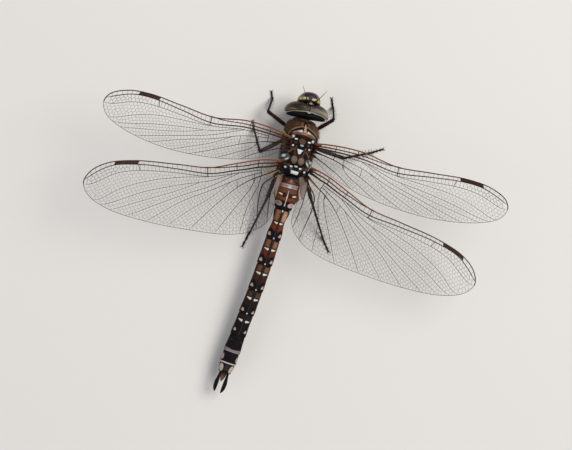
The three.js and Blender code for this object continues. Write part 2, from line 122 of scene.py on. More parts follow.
def rounded_path(points, steps=40):
    """A centripetal Catmull-Rom curve through the points, sampled."""
    p = [np.asarray(q, float) for q in points]
    p = [2 * p[0] - p[1]] + p + [2 * p[-1] - p[-2]]
    t = np.arange(steps)[:, None] / steps
    out = []
    for a, b, c, d in zip(p, p[1:], p[2:], p[3:]):
        ab, bc, cd = (math.sqrt(np.linalg.norm(v)) for v in (b - a, c - b, d - c))
        start = ((b - a) / ab - (c - a) / (ab + bc) + (c - b) / bc) * bc
        end = ((c - b) / bc - (d - b) / (bc + cd) + (d - c) / cd) * bc
        bow = (-3 * b + 3 * c - 2 * start - end) * t**2
        out.append(b + start * t + bow + (2 * b - 2 * c + start + end) * t**3)
    return np.vstack(out + [p[-2][None]])


def smooth_rows(keys, values, at):
    """Monotone cubic interpolation of rows of values, so nothing overshoots a row."""
    x, y, at = (np.asarray(v, float) for v in (keys, values, at))
    step = np.diff(x)
    slope = np.diff(y, axis=0) / step[:, None]
    same = slope[:-1] * slope[1:] > 0
    harmonic = 2 * slope[:-1] * slope[1:] / np.where(same, slope[:-1] + slope[1:], 1)
    tangent = np.vstack([slope[:1], np.where(same, harmonic, 0), slope[-1:]])
    i = np.clip(np.searchsorted(x, at, side="right") - 1, 0, len(x) - 2)
    h = step[i][:, None]
    t = ((at - x[i]) / step[i])[:, None]
    return (
        (1 + 2 * t) * (1 - t) ** 2 * y[i]
        + t * (1 - t) ** 2 * h * tangent[i]
        + t**2 * (3 - 2 * t) * y[i + 1]
        + t**2 * (t - 1) * h * tangent[i + 1]
    )


def sized_rows(rows, at):
    """The columns of a table, after its first, smoothly between its rows."""
    return smooth_rows([r[0] for r in rows], [r[1:] for r in rows], at).T


def step_up(low, high, value):
    """0 below low, 1 above high, eased between."""
    t = np.clip((value - low) / (high - low), 0, 1)
    return t * t * (3 - 2 * t)


def step_down(low, high, value):
    return 1 - step_up(low, high, value)


def band(low, high, soft, value):
    return step_up(low - soft, low + soft, value) * step_down(high - soft, high + soft, value)


def bell(value, reach):
    """1 at zero, falling to nothing a few reaches away."""
    return np.exp(-((value / reach) ** 2))


def oval(dx, dy, reach_x, reach_y, soft=0.25):
    """1 inside an oval, 0 outside it, with a soft share of its reach as the edge."""
    return step_down(1 - soft, 1 + soft, np.hypot(dx / reach_x, dy / reach_y))


def line_distance(px, py, path):
    """The distance from each point to a polyline, and how far along it the nearest place is, 0 to 1."""
    best = np.full(np.shape(px), 1e9)
    along = np.zeros(np.shape(px))
    path = [np.asarray(q, float) for q in path]
    lengths = [np.linalg.norm(b - a) for a, b in zip(path, path[1:])]
    passed = 0.0
    for a, b, length in zip(path, path[1:], lengths):
        d = (b - a) / length
        t = np.clip((px - a[0]) * d[0] + (py - a[1]) * d[1], 0, length)
        gap = np.hypot(px - a[0] - t * d[0], py - a[1] - t * d[1])
        nearer = gap < best
        best = np.where(nearer, gap, best)
        along = np.where(nearer, (passed + t) / sum(lengths), along)
        passed += length
    return best, along


def rough_field(points, grain):
    """Smooth noise, about -1 to 1, at each point; grain is the size of its lumps in millimetres."""
    flat = np.asarray(points).reshape(-1, 3) / grain
    return np.array([noise.noise(Vector(p)) for p in flat]).reshape(np.shape(points)[:-1])


def turns(sides, shift=0.0):
    """Angles once round a ring, begun a share of a step late."""
    return (np.arange(sides) + shift) / sides * 2 * math.pi


def squared_ring(angle, power):
    """How far across and up each place of a rounded-square ring lies, from -1 to 1."""
    return signed_power(np.cos(angle), power), signed_power(np.sin(angle), power)


def close_to_midline(angle):
    """Draws the columns of a skin together near its top and bottom midlines, where the marks are finest."""
    return angle + 0.3 * np.sin(2 * angle)


def signed_power(value, power):
    return np.sign(value) * np.abs(value) ** power


def turned(points, first, second, angle):
    """Points turned by an angle from one axis towards another."""
    out = points.copy()
    out[:, first] = points[:, first] * math.cos(angle) - points[:, second] * math.sin(angle)
    out[:, second] = points[:, first] * math.sin(angle) + points[:, second] * math.cos(angle)
    return out


def colour(rgb):
    """A screen colour such as "#6b3a22" as linear red, green and blue. Linear values stay as they are."""
    if not isinstance(rgb, str):
        return np.asarray(rgb, float)
    raw = [int(rgb[i : i + 2], 16) / 255 for i in (1, 3, 5)]
    return np.array([c / 12.92 if c <= 0.04045 else ((c + 0.055) / 1.055) ** 2.4 for c in raw])


def mixed(first, second, share):
    return colour(first) * (1 - share) + colour(second) * share


def unit(v):
    v = np.asarray(v, float)
    return v / np.linalg.norm(v, axis=-1, keepdims=True)


def crosswise(along):
    """The level direction across a path, and the one up from both."""
    across = unit(np.cross(along, (0, 0, 1)))
    return across, np.cross(across, along)


SPINE = rounded_path(SPINE_POINTS)


def spine_x(y):
    return np.interp(y, SPINE[:, 1], SPINE[:, 0])


def spine_point(y):
    return np.stack([spine_x(y), y, np.interp(y, SPINE[:, 1], SPINE[:, 2])], axis=-1)


def spine_frames(y):
    """Points of the midline at each y, with the directions along it, across it and up from it."""
    along = unit(spine_point(y + SPINE_REACH) - spine_point(y - SPINE_REACH))
    return (spine_point(y), along) + crosswise(along)


# The frame says where the body stands: the thorax solid's box gives the midline and the front.
low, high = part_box("thorax")
ORIGIN = np.array([(low.x + high.x) / 2 / MM - spine_x(THORAX_MIDDLE_Y), low.y / MM - THORAX[0][0], 0.0])

# ---------------------------------------------------------------- meshes

# The tips of a tube, as shares of its radius there.
TUBE_TIP_LENGTH = 0.7
TUBE_TIP_WIDTH = 0.45


def grid_quads(rows, columns, closed):
    """The faces of a grid of points; a closed one joins its last column to its first."""
    r, c = np.meshgrid(np.arange(rows - 1), np.arange(columns - (not closed)), indexing="ij")
    n = (c + 1) % columns
    corners = [r * columns + c, r * columns + n, (r + 1) * columns + n, (r + 1) * columns + c]
    return np.stack(corners, axis=-1).reshape(-1, 4)


def loft(rings):
    """Points and faces of a skin over rings of equal size, with a fan over each end."""
    rings = np.asarray(rings, float)
    count, sides = rings.shape[:2]
    points = np.vstack([rings.reshape(-1, 3), rings[0].mean(axis=0), rings[-1].mean(axis=0)])
    faces = grid_quads(count, sides, True).tolist()
    first, last, start = count * sides, count * sides + 1, (count - 1) * sides
    for k in range(sides):
        m = (k + 1) % sides
        faces += [[first, m, k], [last, start + k, start + m]]
    return points, faces


def rings_round(centres, across, up, wide, high):
    """Rings of points about a row of centres; wide and high are offsets across and up from them."""
    return centres[:, None] + across * wide[..., None] + up * high[..., None]


def tube(path, radii, sides):
    """A tube along a path, each end drawn in to a narrow tip."""
    path = np.asarray(path, float)
    radii = np.broadcast_to(np.asarray(radii, float), (len(path),))
    along = unit(np.gradient(path, axis=0))
    mean = unit(path[-1] - path[0])
    prop = np.array([0.0, 0.0, 1.0]) if abs(mean[2]) < 0.9 else np.array([0.0, 1.0, 0.0])
    across = unit(np.cross(along, prop))
    up = np.cross(across, along)
    tip_a = path[0] - along[0] * radii[0] * TUBE_TIP_LENGTH
    tip_b = path[-1] + along[-1] * radii[-1] * TUBE_TIP_LENGTH
    widths = np.concatenate([[radii[0] * TUBE_TIP_WIDTH], radii, [radii[-1] * TUBE_TIP_WIDTH]])[:, None]
    across, up = (np.vstack([v[:1], v, v[-1:]])[:, None] for v in (across, up))
    angle = turns(sides)[None, :]
    wide, high = np.cos(angle) * widths, np.sin(angle) * widths
    return loft(rings_round(np.vstack([tip_a, path, tip_b]), across, up, wide, high))


def per_point(share, sides, first, last):
    """A value of each ring of a tube's path as one of each of its points."""
    ring = np.concatenate([[first], share, [last]])
    return np.concatenate([np.repeat(ring, sides), [first, last]])


def dome(centre, reach, steps, sides, lump=0.0):
    """A round knob as a loft from pole to pole, with lumps on it as a share of its reach."""
    phi = np.linspace(0.06, math.pi - 0.06, steps)[:, None]
    angle = turns(sides)[None, :]
    rings = np.stack(
        [
            np.sin(phi) * np.cos(angle) * reach[0],
            np.sin(phi) * np.sin(angle) * reach[1],
            np.cos(phi) * np.ones(sides) * reach[2],
        ],
        axis=-1,
    )
    if lump:
        rings = rings * (1 + lump * rough_field(rings + centre, min(reach)))[..., None]
    return loft(rings + np.asarray(centre))


def turn_out(points, faces):
    """The faces, all turned round if they enclose a negative volume."""
    p = np.asarray(points)
    volume = 0.0
    for size in (3, 4):
        index = np.array([f for f in faces if len(f) == size])
        for k in range(1, size - 1) if len(index) else ():
            a, b, c = p[index[:, 0]], p[index[:, k]], p[index[:, k + 1]]
            volume += np.einsum("ij,ij->", a, np.cross(b, c))
    return [f[::-1] for f in faces] if volume < 0 else faces


def tint_of(rgb, roughness, like=None):
    """A colour and a roughness as one RGBA tint, or one for each point of an array."""
    tint = np.append(colour(rgb), roughness)
    return tint if like is None else np.tile(tint, np.shape(like)[:-1] + (1,))


def painter(rgb, roughness, like):
    """A plain tint of each point, and the function that lays marks on it."""
    tint = tint_of(rgb, roughness, like)

    def mark(mask, rgb, roughness=None):
        """Lays a colour, and a roughness if there is one, over the tint as far as the mask goes."""
        mask = np.clip(np.asarray(mask, float), 0, 1)[..., None]
        tint[..., :3] = tint[..., :3] * (1 - mask) + colour(rgb) * mask
        if roughness is not None:
            tint[..., 3:] = tint[..., 3:] * (1 - mask) + roughness * mask

    return tint, mark


def make_piece(name, points, faces, look, tint, replaces=(), outward=True):
    """A mesh in the frame that rides on the root, with its tint as a colour attribute."""
    slot, material = look
    points = np.asarray(points, float)
    if outward:
        faces = turn_out(points, faces)
    mesh = bpy.data.meshes.new(name)
    mesh.from_pydata(((points + ORIGIN) * MM).tolist(), [], faces)
    layer = mesh.color_attributes.new("Tint", "FLOAT_COLOR", "POINT")
    tint = np.broadcast_to(np.asarray(tint, float), (len(points), 4))
    layer.data.foreach_set("color", tint.astype(np.float32).ravel())
    mesh.shade_smooth()
    mesh.materials.append(material)
    obj = bpy.data.objects.new(name, mesh)
    bpy.context.scene.collection.objects.link(obj)
    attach(obj, "root")
    if replaces:
        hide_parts(*replaces)
    return obj


def make_skin(name, rings, tint, end, look, replaces, place=np.asarray):
    """A piece lofted over rings, with a tint for each of their points and one for the middle of each end."""
    skin, faces = loft(rings)
    tint = np.vstack([tint.reshape(-1, 4), end, end])
    make_piece(name, place(skin), faces, look, tint, replaces)


class Heap:
    """Gathers many small closed bodies, with their tints, into one piece."""

    def __init__(self):
        self.points, self.faces, self.tints = [], [], []
        self.count = 0

    def add(self, points, faces, tint):
        points = np.asarray(points, float)
        self.faces += [[i + self.count for i in f] for f in turn_out(points, faces)]
        self.points.append(points)
        self.tints.append(np.broadcast_to(np.asarray(tint, float), (len(points), 4)))
        self.count += len(points)

    def piece(self, name, look, replaces=()):
        make_piece(name, np.vstack(self.points), self.faces, look, np.vstack(self.tints), replaces, False)


# ---------------------------------------------------------------- materials


def new_material(name):
    material = bpy.data.materials.new(name)
    material.use_nodes = True
    return material, material.node_tree, material.node_tree.nodes["Principled BSDF"]


def fill(tree, node, values):
    """Sets a node's inputs, and links those whose value is another node's output."""
    for key, value in values.items():
        if isinstance(value, bpy.types.NodeSocket):
            tree.links.new(value, node.inputs[key])
        else:
            node.inputs[key].default_value = value


def add_node(tree, kind, output, values=(), **settings):
    """Adds a shader node with its settings and input values, and returns one of its outputs."""
    node = tree.nodes.new("ShaderNode" + kind)
    for key, value in settings.items():
        setattr(node, key, value)
    fill(tree, node, dict(values))
    return node.outputs[output]


def shell_look(name, grain, mottle, bump, coat=0.0, pits=0.0, specular=0.08, slot=None):
    """The slot and material of horny skin: the tint, mottled, with fine grain and pits in millimetres."""
    material, tree, shader = new_material(name)
    place = add_node(tree, "TexCoord", "Object")
    colours = add_node(tree, "Attribute", "Color", attribute_name="Tint")
    roughness = colours.node.outputs["Alpha"]
    cloud = {"Vector": place, "Scale": 1 / (grain * 4 * MM), "Detail": 5}
    cloud = add_node(tree, "TexNoise", "Fac", cloud)
    spread = {"Value": cloud, "From Min": 0.3, "From Max": 0.7, "To Min": 1 - mottle, "To Max": 1 + mottle}
    spread = add_node(tree, "MapRange", "Result", spread)
    mottled = {"Factor": 1, "A": colours, "B": spread}
    mottled = add_node(tree, "Mix", "Result", mottled, data_type="RGBA", blend_type="MULTIPLY")
    dull = add_node(tree, "Math", "Value", {0: cloud, 1: 0.22, 2: roughness}, operation="MULTIPLY_ADD")
    height = add_node(tree, "TexNoise", "Fac", {"Vector": place, "Scale": 1 / (grain * MM), "Detail": 4})
    if pits:
        pit = add_node(tree, "TexVoronoi", "Distance", {"Vector": place, "Scale": 1 / (pits * MM)})
        height = add_node(tree, "Math", "Value", {0: height, 1: pit}, operation="ADD")
    raised = {"Strength": bump, "Distance": grain * 0.35 * MM, "Height": height}
    raised = add_node(tree, "Bump", "Normal", raised)
    fill(tree, shader, {"Base Color": mottled, "Roughness": dull, "Normal": raised})
    fill(tree, shader, {"Coat Weight": coat, "Coat Roughness": 0.25, "Specular IOR Level": specular})
    return slot or name, material


def membrane_look(name, rgb, alpha, roughness):
    """The slot and material of clear wing skin, slightly cloudy, with a fine crinkle."""
    material, tree, shader = new_material(name)
    rgb = colour(rgb)
    place = add_node(tree, "TexCoord", "Object")
    cloud = add_node(tree, "TexNoise", "Fac", {"Vector": place, "Scale": 1 / (2.5 * MM), "Detail": 3})
    clouded = add_node(tree, "ValToRGB", "Color", {"Fac": cloud})
    for element, position, shade in zip(clouded.node.color_ramp.elements, (0.3, 0.7), (rgb * 0.75, rgb)):
        element.position = position
        element.color = (*shade, 1)
    fine = add_node(tree, "TexNoise", "Fac", {"Vector": place, "Scale": 1 / (0.6 * MM)})
    raised = add_node(tree, "Bump", "Normal", {"Strength": 0.25, "Distance": 0.05 * MM, "Height": fine})
    fill(tree, shader, {"Base Color": clouded, "Normal": raised})
    fill(tree, shader, {"Alpha": alpha, "Roughness": roughness, "IOR": 1.5})
    return "wing", material


THORAX_SHELL = shell_look("thorax_shell", 0.09, 0.16, 0.5, pits=0.14)
ABDOMEN_SHELL = shell_look("abdomen_shell", 0.08, 0.14, 0.4, pits=0.16)
HEAD_SHELL = shell_look("head_shell", 0.07, 0.12, 0.35)
FACE_SHELL = shell_look("face_plate", 0.08, 0.1, 0.3, coat=0.08)
EYE_SHELL = shell_look("eye", 0.05, 0.07, 0.12, coat=0.1, pits=0.05, specular=0.16)
LEG_SHELL = shell_look("leg", 0.07, 0.14, 0.4)
CLASPER_SHELL = shell_look("clasper", 0.08, 0.12, 0.4)
FEELER_SHELL = shell_look("feeler", 0.06, 0.1, 0.3)
VEIN_SHELL = shell_look("wing_vein", 0.12, 0.12, 0.25, slot="wing")
HAIR = shell_look("hair", 0.3, 0.2, 0.1, slot="thorax_shell")
MEMBRANE = membrane_look("wing_membrane", "#75695a", 0.025, 0.2)
AMBER_MEMBRANE = membrane_look("wing_amber", "#a3701f", 0.7, 0.3)
MEMBRANULE = membrane_look("wing_membranule", "#7a5f50", 0.62, 0.5)

BLACK = colour("#0f0c0e")
REDBROWN = colour("#5c2b13")
OCHRE = colour("#8a5a33")
LILAC = colour("#94807c")
WHITE = colour("#c6c9c4")
CREAM = colour("#a8967f")

# ---------------------------------------------------------------- abdomen

ABDOMEN_SIDES = 176
ABDOMEN_STEP = 0.0765
ABDOMEN_POWER = 2 / 2.25
# Where a segment's sizes are given, as shares of its length, and how far it draws in at its joints.
KNOTS = (0.0, 0.025, 0.12, 0.45, 0.88, 0.975, 1.0)
KNOT_SCALES = np.array([[0.9], [0.965], [1], [1], [1], [1], [0.95]])
JOINT_SHARES = (0.012, 0.025, 0.985)  # stations at the edges of the dark rings
JOINT_STEP = 0.01  # keeps the first station of a segment clear of the last one before it
AURICLE = 0.28  # how far the side lobes of the second segment stand out
# The pale tee on the second segment: how far from its front, and the half width there.
TEE_WIDTHS = [(0.9, 0.02), (1.5, 0.04), (2.2, 0.09), (2.7, 0.05), (3.2, 0.04), (3.6, 0.08), (3.9, 0.08)]
# The segments with pale wedges: where the wedge is as a share of the segment, how strong the ochre
# in front of it and the red-brown behind it are, and where the rear spot is and how large.
WEDGES = {
    2: (0.45, 0.72, 0.85, 0.845, 0.37),
    3: (0.37, 0.46, 0.55, 0.83, 0.37),
    4: (0.31, 0.3, 0.24, 0.82, 0.35),
    5: (0.315, 0.14, 0.08, 0.85, 0.34),
    6: (0.275, 0.02, 0.02, 0.75, 0.31),
}


def abdomen_rings():
    """Stations along the abdomen: the segment, the share of it, y, half width and half height."""
    rows = []
    start = ABDOMEN_START
    for index, (length, front, middle, rear) in enumerate(ABDOMEN):
        shares = np.linspace(0, 1, int(length / ABDOMEN_STEP) + 1)
        shares = np.unique(np.concatenate([shares, JOINT_SHARES]))
        sizes = np.array([front] * 3 + [middle] + [rear] * 3) * KNOT_SCALES
        for share, (half_width, half_height) in zip(shares, smooth_rows(KNOTS, sizes, shares)):
            y = start + share * length + (JOINT_STEP if share == 0 else 0.0)
            rows.append((index, share, y, half_width, half_height))
        start += length
    return np.array(rows).T


def abdomen_fields(segment, f, across, rise, off, points):
    """What the marks are placed by at every point, with the tint and the function that marks it.

    f is its share of the segment and off its distance from the segment's front. across is in
    millimetres to the left, and rise is -1 below to 1 above.
    """
    g = SimpleNamespace(segment=segment, f=f, across=across, rise=rise, off=off)
    g.wobble = rough_field(points, 0.7) * 0.1
    g.fine = rough_field(points + 40, 0.28)
    g.tint, g.mark = painter(BLACK, 0.42, points)
    g.middle = np.abs(across)
    g.side = g.middle + g.wobble * 0.4
    g.back = step_up(-0.1, 0.25, rise)
    g.flank = step_down(0.0, 0.3, rise)
    return g


def mark_wedges(g):
    """The third segment to the seventh, with their pale wedges and spots."""
    f, across, side, rise, mark = g.f, g.across, g.side, g.rise, g.mark
    wobble, fine, back, middle, segment = g.wobble, g.fine, g.back, g.middle, g.segment
    for k, (at, ochre, brown, spot_at, size) in WEDGES.items():
        here = segment == k
        length = ABDOMEN[k][0]
        depth = (f - at) * length
        # Ground colours: ochre in front of the wedge, red-brown behind it, black to the rear.
        front = here * band(0.05, at - 0.035, 0.02, f + wobble * 0.3) * back
        mark(front * ochre, OCHRE, 0.5)
        # A paler centre to the ochre, partly its own colour and partly a painted highlight, laid far stronger
        # on the right side as a painted sheen.
        centre = oval(side - 0.72, (f - at * 0.52) * length, 0.5, at * length * 0.42, 0.8) * ochre
        mark(front * centre * np.where(across > 0, 0.25, 0.7), "#ab8069")
        ends_gap = np.minimum(f * length, (at - f) * length)
        gap = np.minimum(ends_gap, np.minimum(side - 0.1, (1.32 - side) * 1.4) * 0.9)
        mark(front * step_down(-0.1, 0.5, gap + wobble * 1.5), "#2c1409")
        brown_end = 0.74 - 0.02 * (k - 2) + 0.05 * (side > 0.9)
        behind = here * band(at + 0.05, brown_end, 0.045, f + wobble * 0.5) * brown
        mark(behind * back, REDBROWN, 0.48)
        mark(behind * back * step_up(-0.4, 0.8, fine) * 0.8, "#2a120a")
        mark(behind * back * oval(side - 0.75, depth - 0.9, 0.35, 0.6, 0.8) * 0.45, "#7a3b1c")
        mark(behind * g.flank * 0.8, REDBROWN * 0.7, 0.5)
        # The black line across, and the pale wedge behind it, which leaves the midline free.
        mark(here * band(at - 0.036, at - 0.012, 0.006, f), BLACK, 0.4)
        wide, thin = (0.8, 0.85) if k == 2 else (1.0, 1.0)
        thick = np.interp(side / wide, [0.2, 0.28, 0.5, 1.1, 1.22], [0.1, 0.36, 0.42, 0.15, 0.0]) * thin
        wedge = here * step_up(-0.05, 0.03, depth) * step_down(thick - 0.07, thick + 0.07, depth)
        wedge = wedge * step_up(0.19, 0.29, side / wide) * step_up(0.02, 0.14, thick)
        mark(wedge, "#cbc6b9", 0.5)
        mark(wedge * step_up(0.45, 0.9, depth / np.maximum(thick, 0.01)) * 0.7, CREAM, 0.5)
        # The pale spots near the rear of the segment, each in a black field.
        dy = (f - spot_at) * length
        mark(here * oval(side - 1.05, dy + 0.2, 0.62, 0.85, 0.25) * back, BLACK, 0.42)
        share_in = np.clip((dy + size) / (2 * size), 0, 1)
        half = size * (0.3 + 0.68 * share_in) * np.sqrt(np.clip((1 - share_in) * 6, 0, 1))
        spot = here * step_down(half - 0.07, half + 0.07, np.abs(side - 1.1 + 0.1 * dy)) * (half > 0.06)
        spot = spot * step_up(-size, -size + 0.12, dy) * step_up(-0.3, 0.1, rise)
        mark(spot, mixed(LILAC, "#b78f78", 0.6), 0.5)
    # The black midline from the third segment to the seventh, with a painted bluish highlight along its fine
    # ridge.
    wedged = (segment >= 2) & (segment <= 6)
    line = 0.14 + 0.03 * (segment - 2) + 0.3 * wobble
    mark(wedged * step_down(line, line + 0.08, middle), BLACK, 0.4)
    mark(wedged * step_down(0.03, 0.08, middle) * 0.7, "#33363c", 0.4)
    # Small pale dots on the midline at the joints.
    for k in (2, 3, 4, 5):
        mark(oval(across, (f - 0.97) * ABDOMEN[k][0], 0.15, 0.18, 0.4) * (segment == k), "#b5b2ac", 0.5)
    # A pale flank spot low on each segment, as the species has.
    low_spot = oval(rise + 0.35, (f - 0.32), 0.25, 0.16, 0.4) * (segment >= 2) * (segment <= 7)
    mark(low_spot * 0.7, LILAC, 0.55)


def mark_base(g):
    """The first two segments and the collar of the third."""
    f, off, across, side, rise, mark = g.f, g.off, g.across, g.side, g.rise, g.mark
    wobble, fine = g.wobble, g.fine
    one, two, three = (g.segment == k for k in (0, 1, 2))
    length = ABDOMEN[0][0]
    lilac = mixed(LILAC, REDBROWN, 0.15)
    # First segment: black base, red-brown middle and a lilac band into the second.
    patchy = 0.45 + 0.55 * step_up(-0.3, 0.4, fine)
    dark_brown = mixed(REDBROWN, BLACK, 0.4)
    mark(one * band(0.3, 0.82, 0.08, f + wobble) * (1 - 0.4 * g.flank) * patchy, dark_brown, 0.5)
    mark(one * oval(side - 0.5, (f - 0.62) * length, 0.3, 0.2, 0.6) * 0.45, "#7d4a28", 0.5)
    mark(one * oval(across, (f - 0.5) * length, 0.28, 0.34, 0.8) * 0.55, "#8f857c", 0.5)
    mark(one * oval(side - 1.1, (f - 0.3) * length, 0.35, 0.2, 0.6) * 0.12, LILAC, 0.5)
    mark(one * band(0.8, 1.1, 0.04, f) * (side < 1.75) * (rise > 0), lilac, 0.5)
    # Second segment: red-brown with a pale midline like a golf tee, pale cross marks and lilac ovals.
    mark(two * band(0.3, 3.0, 0.1, off + wobble) * (rise > -0.2), "#6a381b", 0.48)
    mark(two * band(0.4, 1.3, 0.15, off + wobble) * (rise > -0.2) * 0.7, "#5a3b2b", 0.48)
    mark(two * step_up(0.0, 0.7, fine) * band(0.4, 3.0, 0.1, off) * 0.6, BLACK)
    mark(two * band(-0.1, 0.34, 0.05, off) * (side < 1.7) * (rise > 0), lilac, 0.5)
    from_joint = np.where(one, (f - 1) * length, off)
    mark((one | two) * oval(across, from_joint - 0.05, 0.4, 0.3, 0.4), "#a3b0b4", 0.5)
    mark(two * band(0.34, 0.48, 0.04, off) * 0.8, BLACK, 0.45)
    mark(two * band(1.3, 1.46, 0.05, off) * (side > 0.25) * (side < 1.95), BLACK, 0.4)
    mark(two * oval(side - 0.62, off - 1.78, 0.42, 0.4, 0.4) * 0.9, BLACK, 0.4)
    mark(two * oval(side - 1.38, off - 1.68 + 0.22 * (side - 1.3), 0.4, 0.14, 0.25), WHITE, 0.5)
    mark(two * band(1.84, 2.04, 0.07, off) * band(0.7, 1.9, 0.1, side) * 0.9, BLACK, 0.4)
    mark(two * band(2.8, 4.6, 0.12, off + wobble) * g.back, BLACK, 0.42)
    leaning = off - 3.48 + 0.12 * (side - 1.2)
    mark(two * oval(side - 1.24, leaning, 0.64, 0.46, 0.12), "#a4958b", 0.5)
    mark(two * oval(side - 1.24, leaning, 0.52, 0.36, 0.3) * 0.9, "#7b625d", 0.5)
    # On the right side only, a paler lilac over the oval: a painted sheen.
    mark(two * oval(side - 1.24, leaning, 0.6, 0.42, 0.2) * (across < 0) * 0.8, "#b39897", 0.5)
    tee_width = np.interp(off, *zip(*TEE_WIDTHS))
    mark(two * step_down(0.16, 0.26, g.middle) * band(1.0, 4.3, 0.1, off) * 0.85, BLACK, 0.4)
    tee = band(0.8, 3.85, 0.12, off) * step_down(tee_width, tee_width + 0.05, g.middle)
    mark(two * tee, "#bcaca2", 0.5)
    # The male's side lobes are pale.
    mark(two * oval(off - 1.9, rise - 0.05, 0.5, 0.2, 0.6) * 0.8, "#7f7d78", 0.5)
    # Third segment begins with a black collar.
    mark(three * step_down(0.04, 0.07, f), BLACK, 0.42)
    mark(three * oval(across, off - 0.42, 0.13, 0.2, 0.4), "#c4c0b8", 0.5)
    # On the right side only, a pale pinkish patch on the ochre: a painted sheen.
    mark(three * (oval(side - 0.78, off - 1.55, 0.4, 0.95, 0.5) * (across < 0)) * 0.7, "#b08d78", 0.5)


def mark_tail(g):
    """The last three segments."""
    f, side, rise, mark = g.f, g.side, g.rise, g.mark
    eight, nine, ten = (g.segment == k for k in (7, 8, 9))
    # Eighth: black, with a grey-lilac crescent at its rear. Ninth: side spots and a cream rear line.
    edge = 0.78 + 0.05 * np.clip(1 - side / 1.3, 0, 1)
    crescent = eight * band(0, 1, 0.04, (f - edge) / (0.97 - edge)) * (rise > -0.25)
    mark(crescent, mixed("#857c7c", BLACK, 0.3), 0.5)
    mark(crescent * band(0.945, 0.97, 0.01, f) * 0.6, CREAM, 0.5)
    mark(eight * oval(side - 1.0, (f - 0.3) * ABDOMEN[7][0], 0.22, 0.12, 0.4) * 0.1, LILAC, 0.5)
    mark(nine * oval(side - 1.5, (f - 0.5) * ABDOMEN[8][0], 0.26, 0.62, 0.3), mixed(LILAC, CREAM, 0.4), 0.5)
    mark(nine * band(0.88, 0.985, 0.02, f) * (rise > -0.4), "#b3a8a4", 0.5)
    # Tenth: a pale patch on each side and a dull midline.
    leaning = (f - 0.5) * ABDOMEN[9][0] - 0.5 * (1.05 - side)
    mark(ten * oval(side - 1.02, leaning, 0.42, 0.72, 0.16), "#a5978b", 0.5)
    mark(ten * step_down(0.25, 0.5, side) * band(0.1, 0.75, 0.1, f) * 0.5, "#3c3436", 0.5)


def paint_abdomen(*fields):
    """The tint of every point."""
    g = abdomen_fields(*fields)
    mark_wedges(g)
    mark_base(g)
    mark_tail(g)
    # Joints are dark rings, the belly is dull, and all of it is slightly clouded.
    g.mark(((g.f > 0.985) | (g.f < 0.012)) * (g.segment < 8) * 0.9, BLACK, 0.5)
    g.mark(step_down(-0.75, -0.5, g.rise) * 0.8, "#3a2b26", 0.6)
    g.tint[..., :3] *= (1 + 0.18 * g.fine)[..., None]
    return g.tint


def make_abdomen():
    segment, share, y, half_width, half_height = (v[:, None] for v in abdomen_rings())
    at, _, across, up = spine_frames(y[:, 0])
    side, rise = squared_ring(close_to_midline(turns(ABDOMEN_SIDES, 0.5))[None, :], ABDOMEN_POWER)
    offset = share * np.array([s[0] for s in ABDOMEN])[segment.astype(int)]
    # The ear-like side lobes.
    lobe = AURICLE * bell(offset - 1.95, 0.55) * (segment == 1) * bell(rise - 0.05, 0.3) * np.sign(side)
    # A fine keel along the back, and a raised line across each segment with wedges.
    keel = 0.05 * bell(side, 0.06) * (rise > 0) * ((segment > 1) & (segment < 9))
    for k, (at_share, *_) in WEDGES.items():
        ridge = 0.025 * bell(share - (at_share - 0.01), 0.012) * (segment == k)
        half_width = half_width + ridge
        half_height = half_height + ridge
    # The belly folds in along its midline.
    fold = 0.28 * bell(side, 0.16) * (rise < 0) * (segment > 1)
    across_mm = side * half_width
    points = rings_round(at, across[:, None], up[:, None], across_mm + lobe, rise * half_height + keel + fold)
    shape = points.shape[:2]
    grids = (np.broadcast_to(v, shape) for v in (segment, share, across_mm, rise, offset))
    tint = paint_abdomen(*grids, points)
    replaced = ["abdomen_%d" % (i + 1) for i in range(len(ABDOMEN))]
    make_skin("abdomen_skin", points, tint, tint_of(BLACK, 0.5), ABDOMEN_SHELL, replaced)


make_abdomen()

TAIL_Y = ABDOMEN_START + sum(s[0] for s in ABDOMEN)
CERCUS_LENGTH = 4.1
CERCUS_SIDES = 24
CERCUS_RINGS = 44
CLASPER_SINK = 0.15  # how far each leaf starts inside the last segment
PLATE_LENGTH = 1.95
PLATE_SINK = 0.1
# Rows of a leaf: the share of its length, half width, half height, and distance from the midline.
CERCUS_ROWS = [
    (0.0, 0.24, 0.24, 0.72), (0.12, 0.25, 0.24, 0.75), (0.3, 0.3, 0.2, 0.8), (0.55, 0.41, 0.17, 0.86),
    (0.75, 0.38, 0.15, 0.83), (0.9, 0.27, 0.12, 0.75), (1.0, 0.09, 0.07, 0.64),
]


